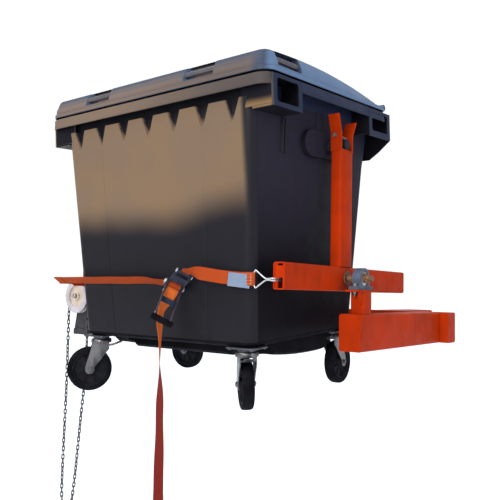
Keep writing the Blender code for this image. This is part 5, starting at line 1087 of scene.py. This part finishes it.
def lid():
    """The moulded lid with its hand pockets and hinge lugs, and the light grips across the pockets."""
    edge = RIM_TOP + LID_GAP
    inner = carved(lid_skin(LID_WALL, LID_WALL, edge - LID_OVERLAP), *pocket_boxes(LID_WALL))
    shape = carved(carved(lid_skin(0.0, 0.0, edge), inner), *pocket_boxes(0.0))
    root = RIM_BACK - LID_WALL
    lugs = []
    for side in (-1, 1):
        for spread in LUG_SPREAD:
            low_x = side * spread - LUG_WIDE / 2
            outline = [(root, edge + HAIR)] + arc(LUG_RADIUS, -90, 90, 14, (HINGE_Y, HINGE_Z))
            outline.append((root - LUG_RADIUS, lid_height(root) - 0.002))
            lugs.append(prism(outline, low_x, low_x + LUG_WIDE, "x"))
    bevelled(link("lid_shell", merged(shape, *lugs), LID, "bin_lid", 30.0, BIN), 0.0016)
    reach = POCKET_WIDE / 2 + 0.002
    near = RIM_FRONT + GRIP_INSET
    grips = []
    for side in (-1, 1):
        low_x, high_x = span(side, RIM_HALF - GRIP_INSET, RIM_HALF - GRIP_INSET - GRIP_THICK)
        for low, high, middle, axis in ((near, near + GRIP_THICK, side * POCKET_X, "x"),
                                        (low_x, high_x, POCKET_END_Y, "y")):
            outline = rounded((low, GRIP_LOW), (high, GRIP_LOW + GRIP_HIGH), GRIP_CORNER)
            grips.append(prism(outline, middle - reach, middle + reach, axis))
    link("lid_grips", merged(*grips), GRIP, "bin_lid", 40.0, BIN)


# Webbing, chain and wheels, in the cradle's frame
UP = Vector((0, 0, 1))
STRAP_WIDE = 0.050
STRAP_THICK = 0.0025
STRAP_Y = -0.4835
STRAP_RIPPLE = 0.0006
FOLD_LIFT = STRAP_THICK + 0.0002
SEAM_LIFT = STRAP_THICK / 2 + 0.0001
SEAM_REACH = 0.021
SEAM_ROWS = (-0.018, -0.006, 0.006, 0.018)
STITCH_PITCH = 0.0035
STITCH_RADIUS = 0.00045
STITCH_ARCH = 0.0003
FOLD_RIGHT_X = 0.452
FOLD_LEFT_X = -0.575
FOLD_LEFT_SIDE = Vector((0, -0.56, -0.83))
EYE_REACH = (0.00648, -0.0014)
LABEL_START = Vector((0.411, -0.5002, -0.0170))
LABEL_STEP = Vector((0.0155, 0.0024, -0.00155))
SPINDLE_AT = (0.148, -0.515, -0.043)
RATCHET_AXES = ((0.825, -0.261, 0.484), (0.495, 0.748, -0.440))
RATCHET_BOLT_X = 0.090
ROLL_TURNS = 3
ROLL_START = 0.0104
ROLL_PITCH = 0.0031
GRIP_MIDDLE = -0.1785
HOOK_WIRE = 0.003
HOOK_BASE_X = 0.522
HOOK_HIGH = 0.014
HOOK_LOW = -0.047
HOOK_NECK_X = 0.572
HOOK_PRONG = (0.6088, -0.436, -0.018, 0.0076)
STRAP_RIGHT_ROUTE = ((0.300, -0.5305, 0.003), (0.380, -0.505, -0.009), (0.460, -0.487, -0.0155),
                     (0.5187, -0.4835, -0.0165))
STRAP_LEFT_ROUTE = ((0.095, -0.506, -0.0345), (0.040, -0.506, -0.030), (-0.020, -0.5055, -0.0245),
                    (-0.200, -0.5055, -0.025), (-0.420, -0.5055, -0.0255), (-0.624, -0.5055, -0.0255))
STRAP_LEFT_SIDE = Vector((0, -0.83, 0.56))
TAIL_ROUTE = ((0.149, -0.5380, -0.0790), (0.134, -0.5430, -0.105), (0.117, -0.5480, -0.140),
              (0.109, -0.5500, -0.180), (0.112, -0.5505, -0.260), (0.117, -0.5510, -0.360),
              (0.119, -0.5500, -0.415), (0.122, -0.5495, -0.560), (0.125, -0.5495, -0.700),
              (0.126, -0.5500, -0.779), (0.127, -0.5505, -0.900))
TAIL_SIDE = Vector((-0.30, 0.95, 0.0))
TAIL_RIPPLE = 0.0008
# Twists of the tail: from and to which share of its length, and through how many degrees
TAIL_TWISTS = ((0.17, 0.27, 17.0), (0.26, 0.57, 45.0), (0.57, 0.90, 15.0))
CHAIN_ROUTE = ((-0.8065, -0.298, -0.130), (-0.8050, -0.298, -0.300), (-0.8030, -0.298, -0.560),
               (-0.8080, -0.298, -0.860), (-0.8090, -0.298, -1.040), (-0.8040, -0.298, -1.120),
               (-0.7850, -0.298, -1.163), (-0.7580, -0.298, -1.170), (-0.7330, -0.298, -1.140),
               (-0.7180, -0.298, -1.060), (-0.7050, -0.298, -0.960), (-0.6780, -0.298, -0.680),
               (-0.6630, -0.298, -0.540), (-0.6540, -0.298, -0.340), (-0.6570, -0.298, -0.200),
               (-0.6635, -0.298, -0.130))
CHAIN_ENDS = ((-0.8065, -0.298, -0.1003), (-0.6635, -0.298, -0.1003))
CHAIN_WHEEL = (-0.735, -0.298, -0.100)
CHAIN_PITCH_RADIUS = 0.0715
LINK_WIRE = 0.0055
LINK_WIDE = 0.0165
LINK_PITCH = 0.0205
ACROSS = 10

along = Vector(RATCHET_AXES[0]).normalized()
spin = Vector(RATCHET_AXES[1])
spin = (spin - spin.dot(along) * along).normalized()
away = along.cross(spin)
RATCHET = ATTACH @ Matrix.Translation(SPINDLE_AT) @ Matrix((along, spin, away)).transposed().to_4x4()


def in_ratchet(point):
    """A point of the ratchet's own frame, in the cradle's frame."""
    return Vector(SPINDLE_AT) + along * point[0] + spin * point[1] + away * point[2]


def turning(first, last, count, start, share):
    """Width directions at each point, which turn from the first to the last over a share of the way."""
    parts = [smooth((step / (count - 1) - start) / share) for step in range(count)]
    return [first.lerp(last, part).normalized() for part in parts]


def axes_at(heading, side):
    """The width and face directions of a strap that runs along a heading."""
    side = (side - side.dot(heading) * heading).normalized()
    return side, heading.cross(side)


def ribbon(path, sides, gather=None, wide=STRAP_WIDE, thick=STRAP_THICK, ripple=0.0):
    """Flat webbing with soft edges and its own lengthwise and crosswise coordinates."""
    shape = bmesh.new()
    strip = shape.loops.layers.uv.new("UVMap")
    rings = []
    total = lengths(path)
    for index, (point, distance) in enumerate(zip(path, total)):
        before = path[max(index - 1, 0)]
        after = path[min(index + 1, len(path) - 1)]
        side, face = axes_at((after - before).normalized(), sides[index])
        width = wide * (gather(distance) if gather else 1.0)
        ring = []
        for out in (1, -1):
            for step in range(ACROSS + 1):
                across = out * (2 * step / ACROSS - 1)
                crown = 1 - 0.5 * abs(across) ** 8
                wave = ripple * math.sin(distance * 31 + across * 2.2) * across
                place = point + side * (across * width / 2) + face * (out * crown * thick / 2 + wave)
                ring.append((shape.verts.new(place), (distance, across * wide / 2 + 0.1 * out)))
        rings.append(ring)
    count = len(rings[0])
    for low, high in zip(rings, rings[1:]):
        for index in range(count):
            after = (index + 1) % count
            corners = (low[index], low[after], high[after], high[index])
            for loop, corner in zip(shape.faces.new([corner[0] for corner in corners]).loops, corners):
                loop[strip].uv = corner[1]
    for ring in (rings[0], rings[-1]):
        for index in range(ACROSS):
            corners = (ring[index], ring[index + 1], ring[2 * ACROSS - index], ring[2 * ACROSS + 1 - index])
            shape.faces.new([corner[0] for corner in corners])
    return shape


def stitches(route, sides, offset=0.0, zigzag=0.0):
    """Short thread stitches along a line on a strap's face."""
    shapes = []
    total = lengths(route)
    for number in range(int(total[-1] / STITCH_PITCH)):
        ends = []
        for share, swing in ((0.12, zigzag), (0.88, -zigzag)):
            point, place = reached(route, total, (number + share) * STITCH_PITCH)
            side, face = axes_at((route[place + 1] - route[place]).normalized(), sides[place])
            ends.append(point + side * (offset + (swing if number % 2 == 0 else -swing)) + face * SEAM_LIFT)
        middle = (ends[0] + ends[1]) / 2 + face * STITCH_ARCH
        shapes.append(wire([ends[0], middle, ends[1]], STITCH_RADIUS, 6))
    return merged(*shapes)


def cross_seam(middle, across, lengthwise):
    """A zigzag seam from edge to edge of a strap."""
    column = [middle + across * reach for reach in (-SEAM_REACH, 0.0, SEAM_REACH)]
    return stitches(column, [lengthwise] * 3, zigzag=0.002)


def strap_piece(name, shape, node, finish=WEBBING):
    """A finished piece of the strap."""
    return link(name, shape, finish, node, 40.0, ATTACH)


def webbing():
    """Both straps, the sewn loop at the hook, the plain label and the roll on the spindle."""
    start = in_ratchet((RATCHET_BOLT_X + 0.0075, 0, 0))
    path = [start] + smooth_path([start + along * 0.012, *STRAP_RIGHT_ROUTE], 59)
    sides = turning(-spin, UP, 60, 0.04, 0.26)
    shape = ribbon(path, sides, lambda distance: 0.70 + 0.30 * smooth(distance / 0.055), ripple=STRAP_RIPPLE)
    strap_piece("strap_right_webbing", shape, "strap_right")
    fold = [point for point in path if point.x > FOLD_RIGHT_X]
    upright = [UP] * len(fold)
    doubled = [point + Vector((0, -FOLD_LIFT, 0)) for point in fold]
    strap_piece("strap_right_fold", ribbon(doubled, upright), "strap_right")
    middle = (fold[-1] + doubled[-1]) / 2
    turn = []
    for step in range(10):
        angle = math.radians(180 - 20 * step)
        turn.append(middle + Vector((EYE_REACH[0] * math.sin(angle), EYE_REACH[1] * math.cos(angle), 0)))
    strap_piece("strap_right_eye", ribbon(turn, [UP] * len(turn), wide=0.047, thick=0.0019), "strap_right")
    seams = [stitches(doubled, upright, offset) for offset in SEAM_ROWS]
    seams += [cross_seam(doubled[place], UP, Vector((-1, 0, 0))) for place in (4, len(doubled) - 3)]
    link("strap_right_seams", merged(*seams), STITCH, "strap_right", 60.0, ATTACH)
    label = [LABEL_START + LABEL_STEP * step for step in range(7)]
    shape = ribbon(label, [Vector((0.03, 0, 1))] * 7, wide=0.052, thick=0.0007)
    strap_piece("strap_label", shape, "strap_right", LABEL)

    start = in_ratchet((-ROLL_PITCH / 2, 0, ROLL_START + ROLL_PITCH * ROLL_TURNS))
    clear = start - along * ROLL_START * 2 + away * ROLL_PITCH / 2
    path = [start, start - along * ROLL_START] + smooth_path([clear, *STRAP_LEFT_ROUTE], 98)
    sides = turning(-spin, STRAP_LEFT_SIDE, 100, 0.1, 0.3)
    strap_piece("strap_left_webbing", ribbon(path, sides, ripple=STRAP_RIPPLE), "strap_left")
    hem = [point + FOLD_LEFT_SIDE * FOLD_LIFT for point in path if point.x < FOLD_LEFT_X]
    strap_piece("strap_left_fold", ribbon(hem, [STRAP_LEFT_SIDE] * len(hem)), "strap_left")

    path = []
    steps = 40 * ROLL_TURNS
    for step in range(steps + 1):
        turn = ROLL_TURNS * step / steps
        angle = 2 * math.pi * turn + math.pi / 2
        radius = ROLL_START + ROLL_PITCH * turn
        path.append(in_ratchet((radius * math.cos(angle), 0, radius * math.sin(angle))))
    strap_piece("webbing_turns", ribbon(path, [spin] * len(path)), "webbing_roll")


def tail():
    """The loose end of the webbing, folded over and sewn at its tip."""
    under = ROLL_START + ROLL_PITCH * (ROLL_TURNS - 0.5) + STRAP_THICK / 2 + 0.00045
    start = in_ratchet((0, 0, -under))
    path = [start] + smooth_path([start - away * ROLL_PITCH * 2, *TAIL_ROUTE], 89)
    sides = turning(spin, TAIL_SIDE, 90, 0.03, 0.12)
    for step in range(len(sides)):
        share = step / (len(sides) - 1)
        turn = sum(angle * smooth((share - first) / (last - first)) for first, last, angle in TAIL_TWISTS)
        sides[step] = Matrix.Rotation(math.radians(turn), 3, "Z") @ sides[step]
    made = strap_piece("tail_webbing", ribbon(path, sides, ripple=TAIL_RIPPLE), "strap_tail", TAIL_WEBBING)
    outward = (path[-1] - path[-2]).cross(sides[-1]).normalized()
    hem = [point + outward * FOLD_LIFT for point in path[-6:]]
    made_hem = strap_piece("tail_hem", ribbon(hem, sides[-6:], wide=0.0495), "strap_tail", TAIL_WEBBING)
    seam = cross_seam(hem[1], sides[-1].normalized(), UP)
    made_seam = link("tail_seam", seam, STITCH, "strap_tail", 60.0, ATTACH)


def chain_link(centre, heading, flat):
    """One oval welded link."""
    bend = (LINK_WIDE - LINK_WIRE) / 2
    reach = (LINK_PITCH + LINK_WIRE) / 2 - bend
    points = []
    for shift, start in ((reach, -90), (-reach, 90)):
        for angle in range(start, start + 181, 36):
            turn = math.radians(angle)
            out = heading * (shift + bend * math.cos(turn))
            points.append(centre + out + flat * (bend * math.sin(turn)))
    return wire(points, LINK_WIRE / 2, 7, closed=True)


def linked(route, count, first=0):
    """Links along a route, each a quarter turn from the last, with the slow twist of a hanging chain."""
    total = lengths(route)
    side = Vector((0, 1, 0))
    shapes = []
    for number in range(count):
        centre, place = reached(route, total, total[-1] * (number + 0.5) / count)
        heading = (route[place + 1] - route[place]).normalized()
        angle = math.radians(45 + 90 * (number + first) + (9 * (number + first) if first else 0))
        flat = side * math.cos(angle) + heading.cross(side) * math.sin(angle)
        shapes.append(chain_link(centre, heading, flat))
    return merged(*shapes)


def chain():
    """The endless hand chain: its links over the wheel, and the long loop that hangs from it."""
    route = [Vector(CHAIN_ENDS[0]), *smooth_path(CHAIN_ROUTE, 62), Vector(CHAIN_ENDS[1])]
    links = linked(route, round(lengths(route)[-1] / LINK_PITCH), 1)
    made = link("hand_chain_links", links, CHAIN, "hand_chain", 60.0, ATTACH)
    over = []
    for step in range(41):
        angle = math.pi * (1 - step / 40)
        over.append(Vector(CHAIN_WHEEL) + CHAIN_PITCH_RADIUS * Vector((math.cos(angle), 0, math.sin(angle))))
    links = linked(over, round(math.pi * CHAIN_PITCH_RADIUS / LINK_PITCH / 2) * 2)
    link("hand_chain_links_over_wheel", links, CHAIN, "hand_chain_over_wheel", 60.0, ATTACH)


# Half profiles of the wheels, as radius and distance from the wheel's middle
CHAIN_RIM_NEAR = [(0.0535, 0.0100), (0.0545, 0.0148), (0.0575, 0.0163), (0.0640, 0.0166), (0.0760, 0.0156),
                  (0.0830, 0.0148), (0.0852, 0.0138), (0.0860, 0.0125), (0.0860, 0.0108), (0.0850, 0.0098),
                  (0.0820, 0.0095), (0.0650, 0.0094), (0.0627, 0.0085), (0.0621, 0.0060)]
CHAIN_DISC_NEAR = [(0.0128, 0.0170), (0.0205, 0.0170), (0.0218, 0.0158), (0.0222, 0.0075), (0.0245, 0.0050),
                   (0.0290, 0.0041), (0.0470, 0.0041), (0.0510, 0.0048), (0.0536, 0.0075)]
TYRE_NEAR = [(0.0762, 0.0205), (0.0775, 0.0219), (0.0810, 0.0226), (0.0880, 0.0230), (0.0930, 0.0226),
             (0.0965, 0.0205), (0.0986, 0.0165), (0.0996, 0.0110), (0.1000, 0.0040)]
CENTRE_NEAR = [(0.0068, 0.0290), (0.0185, 0.0290), (0.0235, 0.0278), (0.0258, 0.0255), (0.0266, 0.0140),
               (0.0290, 0.0092), (0.0350, 0.0068), (0.0560, 0.0060), (0.0640, 0.0072), (0.0685, 0.0110),
               (0.0702, 0.0165), (0.0722, 0.0198), (0.0760, 0.0206)]
WHEEL_STEPS = 72
SCREW_RADIUS = 0.0042
SCREW_OUT = 0.0168
SCREW_HIGH = 0.0010
CASTOR_TRAIL = 0.055
CASTOR_DROP = 0.154
SPOKES = 8
SPOKE_LOW = (0.0062, -0.0018, 0.0262)
SPOKE_HIGH = (0.0112, 0.0018, 0.0680)
PLATE_BOLTS = (0.053, 0.040)
PLATE_BOLT_RADIUS = 0.0075
PLATE_BOLT_LEVELS = (-0.0117, -0.0062)
RACE_TOP = -0.0186
RACE = [(0.0375, 0.0), (0.0440, 0.0015), (0.0462, 0.0045), (0.0466, 0.0120), (0.0460, 0.0165),
        (0.0440, 0.0182), (0.0375, 0.0182)]


def chain_wheel():
    """The cream hand-chain wheel with its lilac-grey grooved rim."""
    across, middle, up = CHAIN_WHEEL
    shape = turned(both_faces(CHAIN_RIM_NEAR, middle), "y", (across, up), WHEEL_STEPS, hollow=True)
    link("chain_wheel_rim", shape, LILAC, "chain_wheel_left", 35.0, ATTACH)
    shape = turned(both_faces(CHAIN_DISC_NEAR, middle), "y", (across, up), WHEEL_STEPS, hollow=True)
    screw = hexagon(SCREW_RADIUS, middle - SCREW_OUT - SCREW_HIGH, middle - SCREW_OUT, "y",
                    (across + SCREW_OUT, up))
    link("chain_wheel_disc", merged(shape, screw), CREAM, "chain_wheel_left", 35.0, ATTACH)


def castor_frames(place):
    """Where a castor's plate is screwed on, and the turned frame of its swivel head."""
    across, up, heading = CASTORS[place]
    mount = BIN @ Matrix.Translation((across, up, BODY_LOW))
    return mount, mount @ Matrix.Rotation(math.radians(heading), 4, "Z")


def castor_wheel(place):
    """A castor's tyre and its ribbed wheel centre."""
    axle = castor_frames(place)[1] @ Matrix.Translation((0, CASTOR_TRAIL, -CASTOR_DROP))
    node = f"castor_wheel_{place}"
    shape = turned(both_faces(TYRE_NEAR), "x", steps=WHEEL_STEPS, hollow=True)
    link(f"castor_tyre_{place}", shape, TYRE, node, 30.0, axle)
    shapes = [turned(both_faces(CENTRE_NEAR), "x", steps=WHEEL_STEPS, hollow=True)]
    for number in range(SPOKES):
        turn = Matrix.Rotation(math.radians(360 * (number + 0.5) / SPOKES), 4, "X")
        for side in (-1, 1):
            spoke = sided(box(SPOKE_LOW, SPOKE_HIGH), side)
            spoke.transform(turn)
            shapes.append(spoke)
    bevelled(link(f"castor_centre_{place}", merged(*shapes), WHEEL, node, 30.0, axle), 0.0006)


def castor_head(place):
    """The bolt heads on a castor's plate and its swivel head's rolled edge."""
    mount, swivel = castor_frames(place)
    long, wide = PLATE_BOLTS
    heads = [hexagon(PLATE_BOLT_RADIUS, *PLATE_BOLT_LEVELS, "z", (up, across))
             for across in (-wide, wide) for up in (-long, long)]
    link(f"castor_plate_bolts_{place}", merged(*heads), ZINC_DARK, f"castor_plate_{place}", 30.0, mount)
    race = turned([(radius, RACE_TOP - drop) for radius, drop in RACE], "z", steps=64, hollow=True)
    link(f"castor_race_{place}", race, ZINC, f"castor_fork_{place}", 35.0, swivel)


def hook():
    """The double claw hook of galvanised wire."""
    prong_x, tip_y, prong_z, apart = HOOK_PRONG
    upper, lower = prong_z + apart / 2, prong_z - apart / 2
    bend = 0.009
    third = 0.003
    half = [(prong_x, tip_y, upper), (prong_x, STRAP_Y + bend, upper),
            (prong_x - third, STRAP_Y + third, upper), (prong_x - bend, STRAP_Y, upper),
            (HOOK_NECK_X, STRAP_Y, upper), (HOOK_BASE_X + bend, STRAP_Y, HOOK_HIGH),
            (HOOK_BASE_X + third, STRAP_Y, HOOK_HIGH - third / 2), (HOOK_BASE_X, STRAP_Y, HOOK_HIGH - bend)]
    other = [(x, y, HOOK_HIGH + HOOK_LOW - z if z > upper + 0.0003 else lower) for x, y, z in reversed(half)]
    shape = wire(smooth_path(half + other, 150), HOOK_WIRE, 14)
    link("strap_hook_wire", shape, WIRE, "strap_hook_right", 60.0, ATTACH)


def ratchet_piece(name, shape, finish, node, crease, bevel=None):
    """A finished piece of the ratchet."""
    made = link(name, shape, finish, node, crease, RATCHET)
    if bevel:
        bevelled(made, bevel)


# The ratchet's trims: radii, then the distances between which each stands out
BOLT_HEAD = (0.0088, 0.0078, 0.001, (0.0312, 0.0362))
RIVET = (0.0052, 0.0040, 0.0008, (0.0346, 0.0368))
RIVET_LEVELS = (-0.045, -0.158)
SPINDLE_RINGS = ((0.0400, 0.0105), (0.0425, 0.0090))
SPINDLE_RING_WIRE = 0.0014
GRIP_SECTION = (0.0105, 0.0110, 0.006)
GRIP_REACH = 0.0452
# Shares of the grip's reach, and how full it is there
GRIP_SWELL = ((-1.0, 0.75), (-0.97, 0.93), (-0.6, 1.0), (0.0, 1.0), (0.6, 1.0), (0.97, 0.93), (1.0, 0.75))
CATCH = ((0.018, 0.018), (0.036, 0.0215), 0.0015)
CATCH_HALF = 0.012


def ratchet_parts():
    """Bright bolt heads and rivets, the spindle's rings, the handle's grip and the red catch."""
    shape = studs(*BOLT_HEAD, [(RATCHET_BOLT_X, 0.0)], 24)
    ratchet_piece("ratchet_bolt_heads", shape, WIRE, "ratchet_frame", 35.0, 0.0006)
    rings = []
    for side in (-1, 1):
        for reach, radius in SPINDLE_RINGS:
            points = [(across, side * reach, up) for across, up in arc(radius, 0, 345, 23)]
            rings.append(wire(points, SPINDLE_RING_WIRE, 8, closed=True))
    ratchet_piece("ratchet_spindle_rings", merged(*rings), WIRE, "ratchet_spindle", 60.0)
    shape = studs(*RIVET, [(0.0, level) for level in RIVET_LEVELS], 20)
    ratchet_piece("ratchet_rivets", shape, WIRE, "ratchet_handle", 35.0, 0.0004)
    grip = []
    for share, swell in GRIP_SWELL:
        deep, high, corner = (size * swell for size in GRIP_SECTION)
        outline = rounded((-deep, GRIP_MIDDLE - high), (deep, GRIP_MIDDLE + high), corner)
        grip.append([(x, share * GRIP_REACH, z) for x, z in outline])
    ratchet_piece("ratchet_grip", loft(grip), TYRE, "ratchet_handle", 50.0)
    catch = prism(rounded(*CATCH, 3), -CATCH_HALF, CATCH_HALF, "y")
    ratchet_piece("ratchet_catch", catch, RED, "ratchet_frame", 40.0, 0.0006)


webbing()
tail()
chain()
chain_wheel()
for castor_place in CASTORS:
    castor_wheel(castor_place)
for castor_place in CASTORS:
    castor_head(castor_place)
hook()
ratchet_parts()
tub()
belly()
loops()
end_relief()
lid()
DONE = {"bin_body", "bin_lid", "strap_right", "strap_left", "webbing_roll", "strap_tail", "hand_chain",
        "hand_chain_over_wheel", "chain_wheel_left", "strap_hook_right"}
DONE |= {f"castor_wheel_{place}" for place in CASTORS}

FINISHES = {"ratchet_handle": NAVY, "ratchet_frame": NAVY, "ratchet_spindle": ZINC,
            "clamp_screw_right": ZINC_DARK, "clamp_screw_left": ZINC_DARK,
            **{f"castor_plate_{place}": ZINC_DARK for place in CASTORS}}
for node in sorted(nodes):
    if node not in DONE:
        dressed(node, FINISHES.get(node) or LOOKS[SLOTS[node]])
